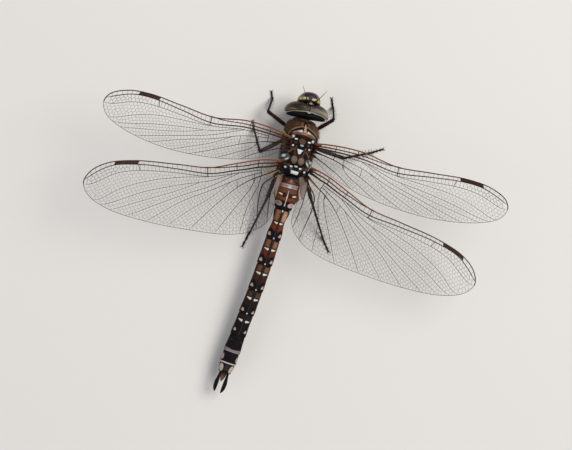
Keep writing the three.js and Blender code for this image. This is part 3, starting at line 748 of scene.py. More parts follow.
def make_claspers():
    """Two long dark leaves above a short brown plate."""
    at, along, across, up = (v[0] for v in spine_frames(np.array([TAIL_Y])))
    angle = turns(CERCUS_SIDES)
    t = np.linspace(0, 1, CERCUS_RINGS)
    wide, high, out = sized_rows(CERCUS_ROWS, t)
    keel = 1 + 0.5 * bell(angle - math.pi / 2, 0.35)
    middle = at + along * (-CLASPER_SINK + t * (CERCUS_LENGTH + CLASPER_SINK))[:, None]
    for name, side in (("cercus_left", 1), ("cercus_right", -1)):
        centre = middle + across * (side * out)[:, None] + up * (0.32 - 0.35 * t * t)[:, None]
        height = np.sin(angle) * keel * high[:, None]
        rings = rings_round(centre, across, up, np.cos(angle) * wide[:, None], height)
        tint, mark = painter(BLACK, 0.35, rings)
        mark(np.abs(np.cos(angle)) ** 8 * 0.6 * np.ones((CERCUS_RINGS, 1)), "#4a342b")
        make_skin(name + "_shell", rings, tint, tint_of(BLACK, 0.35), CLASPER_SHELL, [name])
    t = np.linspace(0, 1, 20)
    width = smooth_rows([0, 0.5, 1], [[0.62], [0.5], [0.22]], t) * (1 - 0.4 * t**6)[:, None]
    centre = at + along * (-PLATE_SINK + t * PLATE_LENGTH)[:, None] + up * (-0.42 + 0.1 * t)[:, None]
    height = np.sin(angle) * (0.24 - 0.1 * t)[:, None]
    rings = rings_round(centre, across, up, np.cos(angle) * width, height)
    brown = tint_of("#6a4a38", 0.5)
    make_skin("epiproct_shell", rings, tint_of("#6a4a38", 0.5, rings), brown, CLASPER_SHELL, ["epiproct"])


make_claspers()

# ---------------------------------------------------------------- thorax and neck

THORAX_RINGS = 260
THORAX_SIDES = 288
# Places on the back, as (distance from the midline, y).
WING_RIDGE = [(0.45, -4.5), (0.7, -4.4), (1.65, -3.97), (2.45, -3.35), (2.7, -2.7), (2.72, -2.0)]
SHOULDER_STRIPE = [(1.45, -5.3), (1.95, -4.75)]
LOBE_LINE = [(0.95, -5.6), (1.8, -5.05), (2.5, -4.3), (3.0, -3.3)]
LOBE_SHADE = [(0.5, -4.9), (1.6, -4.35), (2.5, -3.75), (3.0, -2.9)]
TRIANGLE_FRONT = [(0.5, -4.08), (1.3, -3.86), (2.0, -3.5), (2.4, -3.22)]
TRIANGLE_BACK = [(0.5, -3.62), (1.2, -3.5), (2.3, -3.12)]
# The keel's half width and that of its black edge: y, and the distance from the midline.
KEEL_HALF = [(-5.4, 0.0), (-5.1, 0.08), (-4.7, 0.16), (-4.2, 0.24), (-3.75, 0.33), (-3.5, 0.42)]
KEEL_EDGE = [(-6.05, 0.16), (-5.85, 0.32), (-5.4, 0.4), (-4.9, 0.44), (-4.3, 0.5), (-3.9, 0.5)]
# Where the black back ends on each side: y, and the distance from the midline.
BACK_EDGE = [
    (-5.7, 0.0), (-4.6, 0.05), (-3.6, 0.3), (-3.1, 2.1), (-2.2, 2.6),
    (-0.5, 2.75), (1.0, 2.8), (2.5, 2.9), (4.0, 2.7), (5.2, 2.3),
]
# Dull facets between the ridges: a place, its reach across and along, and a colour.
BACK_FACETS = [
    (1.35, -1.45, 0.3, 0.28, "#3d2b22"),
    (0.95, -0.25, 0.3, 0.34, "#3a2c28"),
    (1.75, -0.2, 0.32, 0.4, "#45301f"),
    (2.3, 0.55, 0.3, 0.35, "#3b3433"),
    (0.85, 0.65, 0.28, 0.22, "#42352e"),
    (1.45, 3.15, 0.32, 0.3, "#3e302a"),
    (2.2, 3.1, 0.3, 0.3, "#4d3424"),
    (0.95, 3.75, 0.25, 0.16, "#4b4440"),
]
# Streaks, each in a dark edge: a path, its half width, a colour and a strength.
BACK_STREAKS = [
    ([(1.25, -0.1), (1.75, 0.3), (2.35, 1.0)], 0.13, "#6d4528", 1.0),
    ([(1.7, 1.85), (2.3, 2.3), (3.0, 2.65)], 0.12, "#7a5434", 1.0),
    ([(1.5, 1.7), (2.1, 2.35), (2.6, 2.9)], 0.05, "#b09a88", 0.6),
    ([(0.95, -0.8), (1.05, -0.2), (0.85, 0.5)], 0.1, "#5d4636", 0.9),
    ([(2.15, -1.6), (2.25, -1.0), (2.1, -0.2)], 0.09, "#5e2f1c", 1.0),
]
WHITE_SPOTS = [
    (2.08, -2.45, 0.29, 0.25),
    (1.36, -2.12, 0.33, 0.12),
    (1.7, -0.74, 0.19, 0.16),
    (2.04, 3.72, 0.25, 0.22),
    (0.94, 3.3, 0.27, 0.16),
]
# The marks of the back run a little right of the spine, because the trunk is slightly rolled.
BACK_MIDLINE = [
    (-5.9, -0.13), (-4.6, -0.25), (-3.3, -0.3), (-2.0, -0.27), (-1.0, -0.26), (0.0, -0.12), (5.2, -0.12),
]


def trunk_rings(rows, count, sides):
    """Rings along y from rows of y, half width, top and bottom, with how far up and across each point is."""
    y = np.linspace(rows[0][0], rows[-1][0], count)
    half_width, top, bottom = (v[:, None] for v in sized_rows(rows, y))
    side, rise = squared_ring(close_to_midline(turns(sides))[None, :], SHELL_POWER)
    height = np.where(rise > 0, top - THORAX_WAIST_Z, THORAX_WAIST_Z - bottom)
    x = spine_x(y)[:, None] + side * half_width
    points = np.stack(np.broadcast_arrays(x, y[:, None], THORAX_WAIST_Z + rise * height), axis=-1)
    return points, np.broadcast_to(rise, x.shape), np.broadcast_to(side, x.shape)


def grid_normals(points):
    """Outward normals of a closed tube of rings that runs along y."""
    round_it = np.roll(points, -1, axis=1) - np.roll(points, 1, axis=1)
    normal = unit(np.cross(round_it, np.gradient(points, axis=0)) + 1e-12)
    outward = points - points.mean(axis=1, keepdims=True)
    return normal * np.sign(np.einsum("ijk,ijk->ij", normal, outward))[..., None]


def thorax_fields(points, rise, side):
    """What the marks are placed by at every point, with the tint, its marker and how far it is lifted."""
    y = points[..., 1]
    g = SimpleNamespace(y=y, z=points[..., 2], rise=rise, side=side, above=rise > 0)
    across = points[..., 0] - spine_x(y)
    g.across = across - np.interp(y, *zip(*BACK_MIDLINE)) * step_up(-0.2, 0.3, rise)
    g.off = np.abs(g.across)
    g.lumps = rough_field(points, 1.3)
    g.fine = rough_field(points + 30, 0.35)
    g.lift = 0.04 * g.lumps
    g.tint, g.mark = painter("#46301f", 0.6, points)
    return g


def mark_lobes(g):
    """Dull brown lobes, darker under, with painted light on the right shoulder: greyer and lighter there,
    which leaves the left darker.
    """
    y, off, rise, above, mark = g.y, g.off, g.rise, g.above, g.mark
    top = step_up(0.25, 0.6, rise)
    mark(step_up(-0.5, 0.5, g.lumps + 0.4 * g.fine) * 0.55, "#2a1c14")
    mark(step_up(0.3, 0.8, g.fine) * 0.3 * top, "#6b4c3a")
    # Painted light: the right shoulder is lighter and greyer.
    mark(step_up(0.8, 2.8, -g.across) * step_up(-5.6, -4.2, y) * 0.6 * above, "#735a4e")
    mark(step_down(0.3, 1.2, off) * band(-5.9, -4.6, 0.25, y) * 0.55 * above, "#7c5338")
    mark(step_down(-0.9, 0.1, rise) * 0.4, "#3c2d25")
    # Painted shade: darker at the front, in the fold against the collar.
    mark(step_down(-5.7, -5.4, y) * 0.4, "#2c1f19", 0.6)
    # A short pale shoulder stripe, a dark line across each lobe, and a dark shade before the ridge.
    shoulder, lobe_line, shade = (
        line_distance(off, y, path)[0] for path in (SHOULDER_STRIPE, LOBE_LINE, LOBE_SHADE)
    )
    mark(step_down(0.06, 0.13, shoulder) * 0.3 * (rise > 0.2), "#94805a")
    mark(step_down(0.03, 0.12, lobe_line) * 0.6 * top, "#1c130f")
    g.lift = g.lift - 0.05 * bell(lobe_line, 0.12) * top
    mark(step_down(0.05, 0.3, shade) * 0.5 * top, "#241813")


def mark_flanks(g):
    """Three sutures, which lean forward as they go down, with a yellow stripe behind two of them."""
    y, z, mark = g.y, g.z, g.mark
    lean = (z - 6.0) * 0.16
    humeral = y - (-3.1 + lean + 0.25 * np.sin(z * 0.8))
    middle = y - (-0.9 + lean + 0.15 * np.sin(z * 0.9 + 1))
    hind = y - (1.5 + lean + 0.1 * np.sin(z))
    flank = step_up(-0.75, -0.45, g.rise) * step_down(0.55, 0.8, g.rise)
    for line in (humeral, middle, hind):
        g.lift = g.lift - 0.09 * bell(line, 0.09) * flank
    for line in (humeral, hind):
        mark(band(0.22, 0.85, 0.1, line + 0.08 * g.lumps) * flank, "#a89a5e", 0.55)
        mark(band(0.85, 1.0, 0.04, line) * flank * 0.7, BLACK, 0.5)
    for line in (humeral, middle, hind):
        mark(step_down(0.05, 0.13, np.abs(line)) * flank, BLACK, 0.5)
    # The breathing hole.
    hole = oval(y - 0.35, z - 5.2, 0.2, 0.32, 0.4) * (np.abs(g.side) > 0.8)
    mark(hole, BLACK, 0.6)
    g.lift = g.lift - 0.08 * hole
    # The underside is dull brown with a midline groove.
    mark(step_down(-0.8, -0.6, g.rise) * 0.7, "#4b3c33", 0.6)
    g.lift = g.lift - 0.12 * bell(g.off, 0.15) * (g.rise < 0)


def mark_back(g):
    """The black back between the wings, and the keel between the lobes, which it returns."""
    y, off, across, above, mark = g.y, g.off, g.across, g.above, g.mark
    back_edge = sized_rows(BACK_EDGE, y.ravel()).reshape(y.shape)
    dark = step_down(back_edge - 0.08, back_edge + 0.08, off) * above
    mark(dark, "#100b0a", 0.45)
    mark(dark * step_up(0.35, 0.75, g.fine) * step_up(-3.0, -2.4, y) * 0.6, "#4a2718", 0.45)
    g.lift = g.lift - 0.16 * dark * step_up(-3.6, -2.8, y)
    # The keel is a pale spear, edged with black.
    keel_half, keel_edge = (np.interp(y, *zip(*path)) for path in (KEEL_HALF, KEEL_EDGE))
    on_keel = (y < -3.45) * above
    mark(step_down(keel_edge - 0.03, keel_edge + 0.05, off) * on_keel, BLACK, 0.45)
    keel = step_down(keel_half - 0.04, keel_half + 0.03, off) * on_keel * step_up(-5.3, -5.15, y)
    mark(keel, "#967c70", 0.5)
    mark(keel * band(0.03, 0.12, 0.03, across) * 0.6, "#c4b4ab", 0.5)
    g.lift = g.lift + 0.16 * bell(across, keel_half + 0.1) * on_keel * step_up(-5.7, -5.2, y)
    return keel


def mark_ridges(g, keel):
    """Black wing ridges with a painted highlight before them, the pale blue triangles behind them, and the
    orange-brown sill.
    """
    y, off, above, mark = g.y, g.off, g.above, g.mark
    ridge, _ = line_distance(off, y, WING_RIDGE)
    ahead_of = y < np.interp(off, *zip(*WING_RIDGE[:5]))
    # Painted highlight: a pale tan band along the front of each black ridge.
    mark(band(0.12, 0.42, 0.08, ridge) * (ahead_of | (off > 2.7)) * 0.6 * above, "#93735c", 0.5)
    triangle_front, triangle_back = (np.interp(off, *zip(*path)) for path in (TRIANGLE_FRONT, TRIANGLE_BACK))
    inside = band(0.0, 1.0, 0.12, (y - triangle_front) / (triangle_back - triangle_front))
    inside = inside * band(0.5, 2.3, 0.06, off) * above
    sill_line = y - (-3.42 + 0.18 * off)
    sill = band(-0.2, 0.15, 0.07, sill_line) * step_down(2.0, 2.3, off) * above
    mark(sill, mixed("#84502c", "#2c1a12", 0.4), 0.5)
    bright = step_down(0.3, 0.75, off) * band(-3.85, -3.25, 0.12, y) * above
    mark(bright * (1 - keel) * 0.9, "#ad6c3c", 0.5)
    mark(inside, "#72655f", 0.42)
    mark(inside * step_down(0.75, 1.3, off) * 0.8, "#b4bdbf", 0.42)
    mark(band(0.14, 0.5, 0.08, sill_line) * step_down(2.1, 2.4, off) * above, BLACK, 0.4)
    mark(step_down(0.13, 0.2, ridge) * above, BLACK, 0.4)
    g.lift = g.lift + 0.2 * bell(ridge, 0.13) * above + 0.06 * inside


def mark_shields(g):
    """Brown domes with a painted highlight on the rear pair, white scutella, and the streaks and spots beside
    them.
    """
    y, off, across, above, mark = g.y, g.off, g.across, g.above, g.mark

    def shield(x, at_y, reach_x, reach_y, rgb, high, soft=0.16, twin=True):
        for sign in (1, -1) if twin else (1,):
            dx, dy = across - sign * x, y - at_y
            g.lift = g.lift + high * (oval(dx, dy, reach_x * 1.15, reach_y * 1.15, 0.85) * above)
            mark(oval(dx, dy, reach_x, reach_y, soft) * above, rgb, 0.45)

    def plate(at_y, front_half, rear_half, reach, high):
        """A white shield on the midline that narrows to the rear, with crisp sides."""
        share = (y - at_y) / reach
        half = np.interp(share, [-1, 1], [front_half, rear_half])
        mask = band(-1, 1, 0.12, share) * step_down(half - 0.05, half + 0.07, off) * above
        g.lift = g.lift + high * mask
        mark(mask, WHITE, 0.45)

    for facet in BACK_FACETS:
        shield(*facet, 0.08, soft=0.5)
    for path, half, rgb, strength in BACK_STREAKS:
        distance, share = line_distance(off, y, path)
        mark(step_down(half + 0.08, half + 0.16, distance) * above, BLACK, 0.45)
        taper = half * (1 - 0.5 * share)
        mark(step_down(taper - 0.02, taper + 0.04, distance) * above * strength, rgb, 0.45)
    dome_brown = colour("#513824")
    shield(0.1, -1.94, 0.86, 0.76, "#0b0807", 0.1, twin=False)
    shield(0.1, -1.94, 0.66, 0.58, dome_brown, 0.24, twin=False)
    shield(0.0, -1.13, 0.36, 0.2, "#98a3a8", 0.1, twin=False)
    plate(0.16, 0.62, 0.16, 0.44, 0.22)
    shield(0.2, 1.0, 0.3, 0.3, "#2c1c14", 0.05)
    shield(0.69, 1.9, 0.78, 0.9, "#0b0807", 0.08)
    shield(0.69, 1.9, 0.59, 0.72, mixed(dome_brown, "#6d5c4f", 0.45), 0.26)
    # A painted highlight, soft and pale, on each rear dome.
    shield(0.75, 1.75, 0.4, 0.5, mixed(dome_brown, "#7d6a5c", 0.6), 0.0, soft=0.9)
    mark_lenses(g)
    shield(0.0, 3.08, 0.36, 0.18, "#9ca8ae", 0.08, twin=False)
    plate(4.33, 0.8, 0.7, 0.34, 0.16)
    for spot in WHITE_SPOTS:
        shield(*spot, WHITE, 0.12)
    mark(step_up(4.85, 5.0, y) * above, BLACK, 0.5)


def mark_lenses(g):
    """A clear lens of skin over the wing muscles on each side, set in a dark frame."""
    y, across, above, mark = g.y, g.across, g.above, g.mark
    for sign in (1, -1):
        dx = sign * across - 2.55
        dy = y - 1.9
        along_it = 0.77 * dx + 0.64 * dy
        over_it = -0.64 * dx + 0.77 * dy
        glass = oval(along_it, over_it, 0.95, 0.66, 0.12) * above
        mark(oval(along_it, over_it, 1.2, 0.9, 0.1) * above, BLACK, 0.4)
        mark(glass, "#5c5a58", 0.25)
        mark(glass * step_up(-0.1, 0.5, over_it) * 0.6, "#8b7770", 0.25)
        mark(glass * band(-0.2, 0.2, 0.1, over_it) * 0.7, "#26262a", 0.25)
        mark(oval(along_it, over_it + 0.32, 0.32, 0.24, 0.4) * above, "#bccbd0", 0.3)
        mark(oval(along_it + 0.2, over_it - 0.44, 0.42, 0.13, 0.4) * above, WHITE, 0.3)
        g.lift = g.lift + 0.12 * oval(along_it, over_it, 1.1, 0.75, 0.8) * above


def make_thorax():
    points, rise, side = trunk_rings(THORAX, THORAX_RINGS, THORAX_SIDES)
    normal = grid_normals(points)
    g = thorax_fields(points, rise, side)
    mark_lobes(g)
    mark_flanks(g)
    mark_ridges(g, mark_back(g))
    mark_shields(g)
    g.tint[..., :3] *= (1 + 0.2 * g.fine)[..., None]
    points = points + normal * g.lift[..., None]
    make_skin("thorax_skin", points, g.tint, tint_of(BLACK, 0.6), THORAX_SHELL, ["thorax"])
    return points, normal, rise


thorax_points, thorax_normals, thorax_rise = make_thorax()


def make_neck():
    points, rise, _ = trunk_rings(COLLAR, 60, 96)
    y = points[..., 1]
    above = rise > 0
    off = np.abs(points[..., 0] - spine_x(y))
    lumps = rough_field(points, 0.5)
    points[..., 2] += 0.1 * bell(off - 0.8, 0.35) * band(-6.3, -5.9, 0.1, y) * above
    tint, mark = painter("#3a281c", 0.6, points)
    mark(step_up(0, 0.6, lumps) * 0.6, "#20150f")
    mark(oval(off - 1.0, y + 6.0, 0.5, 0.3, 0.5) * above * 0.8, "#120c0a")
    # Painted shadow of the head on the collar's front.
    mark(step_down(-6.45, -6.3, y), "#1c1513")
    # Painted shade: a dark band in the fold where the collar meets the thorax.
    mark(band(-6.0, -5.85, 0.04, y) * above * (off < 1.6) * 0.5, "#241812")
    mark(oval(off - 0.7, y + 6.12, 0.35, 0.07, 0.5) * above * 0.2, "#8c7350")
    make_skin("prothorax_skin", points, tint, tint_of(BLACK, 0.6), THORAX_SHELL, ["prothorax"])


make_neck()

# ---------------------------------------------------------------- head

YAW_COS, YAW_SIN = math.cos(HEAD_YAW), math.sin(HEAD_YAW)
ROLL_COS, ROLL_SIN = math.cos(HEAD_ROLL), math.sin(HEAD_ROLL)
YAW = np.array([[YAW_COS, -YAW_SIN, 0], [YAW_SIN, YAW_COS, 0], [0, 0, 1]])
ROLL = np.array([[ROLL_COS, 0, ROLL_SIN], [0, 1, 0], [-ROLL_SIN, 0, ROLL_COS]])


def from_head(points):
    """Points of the head's own frame carried to the body."""
    return np.asarray(points) @ (YAW @ ROLL).T + HEAD_PLACE


EYE_RINGS = 120
EYE_SIDES = 144
EYE_POWER = 2 / 2.2
EYE_INNER_BOTTOM = 1.35  # the eyes' bottom where they meet, above the face
# Each eye's ground colour and its clouds: distance from the middle, y, reach across and along, how
# soft, a fade upward (None: only the upper half), strength and colour.
EYES = {
    # The left eye's darker ground is painted shade.
    "eye_left": (1, "#392b1c", [
        (1.6, -0.75, 1.7, 0.75, 0.8, None, 0.8, "#4c3d33"),
        (1.0, -0.55, 1.0, 0.4, 0.8, None, 0.6, "#6b5c52"),
        (2.5, -1.3, 2.1, 0.95, 0.7, (-0.4, 1.2), 1.0, "#1f160e"),
        (3.0, -0.25, 0.8, 0.1, 0.5, None, 0.6, "#8d7f52"),
        (2.4, -0.06, 0.9, 0.07, 0.5, None, 0.8, "#1e150e"),
    ]),
    # The right eye's paler grey ground and its first two grey clouds are a painted sheen.
    "eye_right": (-1, "#564b43", [
        (2.1, -0.35, 1.7, 0.75, 0.8, None, 1.0, "#7b736f"),
        (3.2, -0.1, 1.3, 0.6, 0.8, (-0.6, 0.8), 1.0, "#8d7f73"),
        (1.5, -1.55, 1.5, 0.6, 0.6, None, 1.0, "#2e1d14"),
        (3.2, -1.3, 1.2, 0.5, 0.8, (-0.4, 1.0), 0.6, "#3d3027"),
    ]),
}


def eye_section(u):
    """Front, back, top and bottom of the eye at a share u of the way out to its side."""
    fall = np.sqrt(1 - u**2.6)
    inner = step_up(0, 0.5, u)
    foremost = EYE_SEAM[0] * (1 - inner) + EYE_FRONT * inner
    front = EYE_TIP + (foremost - EYE_TIP) * np.sqrt(1 - u**3)
    rearmost = EYE_SEAM[1] * (1 - inner) + EYE_BACK * inner + EYE_HOOK * u**4
    back = EYE_TIP + (rearmost - EYE_TIP) * np.sqrt(1 - u**12)
    top = EYE_MID_Z + (EYE_TOP - EYE_MID_Z) * fall - 0.34 * bell(u, 0.15)
    deep = EYE_MID_Z + (EYE_BOTTOM - EYE_MID_Z) * fall
    outer = step_up(0, 0.6, u)
    return front, back, top, EYE_INNER_BOTTOM * (1 - outer) + deep * outer


def make_eye(name, side, ground, clouds):
    u = (np.sin(np.linspace(0, math.pi / 2, EYE_RINGS)) * 0.9995)[:, None]
    front, back, top, bottom = eye_section(u)
    lie, rise = squared_ring(turns(EYE_SIDES)[None, :], EYE_POWER)
    x = np.broadcast_to(np.maximum(u * EYE_REACH, 0.02), (EYE_RINGS, EYE_SIDES))
    y = (front + back) / 2 + lie * (back - front) / 2
    z = (top + bottom) / 2 + rise * (top - bottom) / 2
    local = np.stack([side * x, y, z], axis=-1)
    rear = (y - front) / (back - front)
    tint, mark = painter(ground, 0.3, local)
    if side > 0:
        mark(step_up(2.6, 4.0, x) * 0.7, "#57432f")
    for cloud_x, cloud_y, reach_x, reach_y, soft, fade, strength, rgb in clouds:
        upper = z > 0 if fade is None else step_up(*fade, z)
        mark(oval(x - cloud_x, y - cloud_y, reach_x, reach_y, soft) * upper * strength, rgb)
    # Paler, greyer and greener underneath.
    mark(step_down(-1.6, 0.4, z) * 0.75, "#8a8a6e")
    mark(step_up(0.1, 0.8, rough_field(local, 1.4)) * 0.25, "#55483a")
    # The rear rim is dull and pale yellow, with a dark line before it.
    outside = step_up(-1.2, 0.2, z)
    mark(step_up(0.875, 0.9, rear) * outside, "#dad4ba", 0.5)
    mark(band(0.835, 0.87, 0.012, rear) * outside * 0.6, "#241b14", 0.3)
    # The seam where the two eyes touch is dark.
    mark(step_down(0.05, 0.16, x) * 0.85, "#1a1513", 0.4)
    make_skin(name + "_lens", local, tint, tint_of("#4a3f33", 0.3), EYE_SHELL, [name], from_head)


for eye_name, eye in EYES.items():
    make_eye(eye_name, *eye)


CAPSULE_SIDES = 128


def make_capsule():
    """The black back of the head, hollowed a little behind."""
    # The rings lie closer where the shell turns in behind.
    y = np.concatenate([np.linspace(CAPSULE[0][0], 0.88, 50), np.linspace(0.9, CAPSULE[-1][0], 30)])
    half_width, top, bottom = (v[:, None] for v in sized_rows(CAPSULE, y))
    side, rise = squared_ring(turns(CAPSULE_SIDES)[None, :], SHELL_POWER)
    y = y[:, None]
    # Under the eyes the shell is drawn in, so that it never breaks their surface.
    inset = 0.16 * step_down(0.1, 0.55, y)
    z = np.where(rise > 0, rise * (top - inset), rise * (-bottom - inset))
    local = np.stack(np.broadcast_arrays(side * (half_width - inset), y, z), axis=-1)
    tint, mark = painter("#0b090a", 0.5, local)
    mark(step_down(-2.2, -1.2, z) * 0.8, "#7d7657", 0.5)
    mark(step_up(0.98, 1.06, y) * (rise < 0) * 0.4, "#5a4c3a")
    low_middle = oval(local[..., 0], z - 0.2, 2.6, 0.9, 0.8) * step_up(0.95, 1.12, y)
    mark(low_middle * step_up(-0.2, 0.5, rough_field(local, 0.6)) * 0.6, "#46352a")
    make_skin("head_capsule", local, tint, tint_of(BLACK, 0.6), HEAD_SHELL, ["head"], from_head)


make_capsule()


OCELLI = ((-0.5, -1.75, 2.12), (0.6, -1.75, 2.12), (0.05, -2.2, 2.05))


def make_head_knobs():
    """The vertex with its three simple eyes, and the white triangle behind the seam of the eyes."""
    heap = Heap()
    skin, faces = dome((0.05, -1.82, 1.98), (0.62, 0.44, 0.55), 24, 40, 0.04)
    tint, mark = painter("#1b171a", 0.3, skin)
    mark(oval(skin[:, 0] - 0.05, skin[:, 1] + 1.86, 0.3, 0.18, 0.4) * (skin[:, 2] > 2.3), "#8d8474", 0.5)
    heap.add(from_head(skin), faces, tint)
    knobs = [(place, (0.15, 0.15, 0.13), 10, 18, "#4c4a46", 0.15) for place in OCELLI]
    knobs.append(((0.0, -0.02, 1.95), (0.36, 0.17, 0.5), 16, 28, "#a8a793", 0.5))
    for place, reach, steps, sides, rgb, roughness in knobs:
        skin, faces = dome(place, reach, steps, sides)
        heap.add(from_head(skin), faces, tint_of(rgb, roughness))
    heap.piece("vertex_knob", HEAD_SHELL, ["vertex"])


make_head_knobs()

FACE_SIDES = 96
FACE_FRONT_SIDES = int(FACE_SIDES * 0.7)
FACE_INSET = 0.12  # how far the plates' flat backs stay out of the eyes
FACE_WALL = FACE_BACK + FACE_INSET
FACE_MARK_SHIFT = 0.2  # the face is seen a little from its left
# Rows of each face plate: z, half width and depth.
FRONS = [
    (-0.38, 2.05, 1.8), (0.0, 2.2, 2.02), (0.45, 2.25, 2.2), (0.85, 2.2, 2.2), (1.15, 2.02, 2.06),
    (1.36, 1.78, 1.88),
]
FRONS_CROWN = 0.46
CLYPEUS = [(-1.44, 1.8, 1.5), (-1.2, 2.02, 1.72), (-0.85, 2.1, 1.86), (-0.5, 2.1, 1.82), (-0.33, 2.0, 1.7)]
LABRUM = [(-2.36, 1.1, 0.85), (-2.2, 1.5, 1.22), (-1.95, 1.78, 1.5), (-1.65, 1.85, 1.56), (-1.46, 1.8, 1.48)]
# The half width of the T on the forehead, from its stem to the front of its bar.
FACE_TEE = [(2.3, 0.34), (2.8, 0.3), (2.98, 0.5), (3.1, 1.28), (3.4, 1.35), (3.7, 1.05), (3.9, 0.5)]
# Jaws and lower lip: the middle, the half sizes and the roll of each lobe.
MOUTHPARTS = [
    ((0.0, -2.2, -2.72), (0.62, 0.86, 0.3), 0.0),
    ((0.78, -2.2, -2.62), (0.66, 0.88, 0.32), 0.35),
    ((-0.78, -2.2, -2.62), (0.66, 0.88, 0.32), -0.35),
    ((1.5, -2.12, -2.15), (0.26, 0.7, 0.62), -0.25),
    ((-1.5, -2.12, -2.15), (0.26, 0.7, 0.62), 0.25),
]


def face_ring(z, half_width, depth):
    """A rounded front on a flat back, level in the head's own frame."""
    lie, rise = squared_ring(np.linspace(0, math.pi, FACE_FRONT_SIDES), 0.85)
    along_wall = np.linspace(-half_width, half_width, FACE_SIDES - FACE_FRONT_SIDES + 2)[1:-1]
    x = np.concatenate([lie * half_width, along_wall])
    y = np.concatenate([FACE_WALL - rise * (depth + FACE_INSET), np.full(len(along_wall), FACE_WALL)])
    return np.column_stack([x, y, np.full(FACE_SIDES, z)])


def face_plate(rows, crown=0.0):
    """The skin of a face plate from its rows. crown closes its top as a dome."""
    z = np.linspace(rows[0][0], rows[-1][0], 40)
    rings = [face_ring(*row) for row in zip(z, *sized_rows(rows, z))]
    if crown:
        base = rings[-1]
        hub = np.array([0, base[:, 1].mean()])
        for t in np.linspace(0, 1, 36)[1:]:
            flat = hub + (base[:, :2] - hub) * math.cos(t * math.pi / 2 * 0.985)
            height = rows[-1][0] + crown * math.sin(t * math.pi / 2)
            rings.append(np.column_stack([flat, np.full(FACE_SIDES, height)]))
    return loft(rings)


def make_face():
    # The forehead: pale yellow, with a black foot line, a T-shaped mark and a pinkish front.
    skin, faces = face_plate(FRONS, FRONS_CROWN)
    x, y, z = skin.T
    x = x - FACE_MARK_SHIFT
    out = np.abs(x)
    over = step_up(0.7, 1.1, z)
    ahead = -y + 0.08 * x * x
    tint, mark = painter("#6f6058", 0.42, skin)
    mark(step_up(-0.3, 0.7, rough_field(skin, 0.6)) * 0.4, "#513f37")
    mark((1 - over) * 0.7, "#8f7f5a", 0.45)
    patch = band(2.55, 3.03, 0.09, ahead) * band(0.36, 2.12, 0.1, out) * step_up(0.5, 0.9, z)
    mark(patch, "#a8945f", 0.42)
    mark(patch * oval(out - 0.9, ahead - 2.82, 0.4, 0.16, 0.6), "#c0b184", 0.42)
    mark(patch * oval(x + 1.0, ahead - 2.78, 0.35, 0.14, 0.6) * 0.7, "#c99a7a", 0.42)
    mark(patch * step_down(0.03, 0.09, np.abs(out - 1.5)) * 0.7, "#3c2c1c", 0.42)
    # The blue-black T: a foot line, a short stem, and a broad bar with a rounded front.
    half = np.interp(ahead, *zip(*FACE_TEE))
    mark(step_down(half - 0.06, half + 0.06, out) * step_down(3.82, 3.95, ahead) * over, "#1e212b", 0.38)
    mark(oval(x - 1.25, ahead - 3.35, 0.22, 0.14, 0.5) * over * 0.8, "#5f2414", 0.42)
    mark(step_down(2.47, 2.57, ahead) * step_up(0.2, 0.8, z), BLACK, 0.42)
    mark(oval(x - 1.2, y + 4.0, 0.26, 0.2, 0.4) * (z > 0.2), "#15100f", 0.42)
    mark(oval(x + 1.0, y + 3.85, 0.6, 0.16, 0.6) * (z > 0.2) * 0.5, "#3b251c", 0.42)
    make_piece("frons_plate", from_head(skin), faces, FACE_SHELL, tint, ["frons"])

    skin, faces = face_plate(CLYPEUS)
    x, _, z = skin.T
    tint, mark = painter("#9c8b60", 0.42, skin)
    mark(step_down(0.05, 0.12, np.abs(z + 0.88 + 0.06 * np.cos(x * 2))), "#3a2e22")
    mark(oval(np.abs(x) - 0.8, z + 1.15, 0.28, 0.13, 0.5) * 0.7, "#54432f")
    make_piece("clypeus_plate", from_head(skin), faces, FACE_SHELL, tint, ["clypeus"])

    skin, faces = face_plate(LABRUM)
    x, y, z = skin.T
    notch = 0.16 * bell(x, 0.25) * (z < -2.0) * (y < FACE_BACK)
    tint, mark = painter("#a3925f", 0.4, skin)
    skin = skin + notch[:, None] * (0, 1, 0.5)
    mark(step_down(-2.22, -2.1, z), BLACK, 0.4)
    mark(step_down(0.04, 0.1, np.abs(z + 1.5)), BLACK, 0.4)
    make_piece("labrum_plate", from_head(skin), faces, FACE_SHELL, tint, ["labrum"])

    heap = Heap()
    for middle, reach, roll in MOUTHPARTS:
        skin, faces = dome((0, 0, 0), reach, 26, 44, 0.03)
        tint, mark = painter("#86774f", 0.45, skin)
        mark(step_up(0.7, 0.95, np.abs(skin[:, 0] / reach[0])) * 0.7, "#2b2019")
        mark(step_up(0.5, 0.95, -skin[:, 1] / reach[1]) * 0.6, "#241a14")
        heap.add(from_head(turned(skin, 0, 2, roll) + np.array(middle)), faces, tint)
    heap.piece("mouthparts_shell", HEAD_SHELL, ["mouthparts"])


make_face()

ANTENNA_LENGTH = 3.4
# Radii along an antenna: two stout joints, then the bristle.
ANTENNA_RADII = [
    (0, 0.19), (0.03, 0.21), (0.1, 0.17), (0.13, 0.12), (0.2, 0.13), (0.24, 0.07), (0.6, 0.05), (1, 0.025)
]


def make_antenna(name, side):
    t = np.linspace(0, 1, 30)
    aim = unit(np.array([side * 0.5, -0.8, 0.33]))
    path = np.array([side * 0.8, -2.2, 2.0]) + aim * (t * ANTENNA_LENGTH)[:, None]
    path[:, 2] += 0.12 * np.sin(t * math.pi)
    radius = np.interp(t, *zip(*ANTENNA_RADII)) * (1 + 0.12 * (np.sin(t * 40) > 0.8) * (t > 0.24))
    skin, faces = tube(path, radius, 14)
    make_piece(name + "_bristle", from_head(skin), faces, FEELER_SHELL, tint_of("#161213", 0.4), [name])


make_antenna("antenna_left", 1)
make_antenna("antenna_right", -1)

# ---------------------------------------------------------------- wings

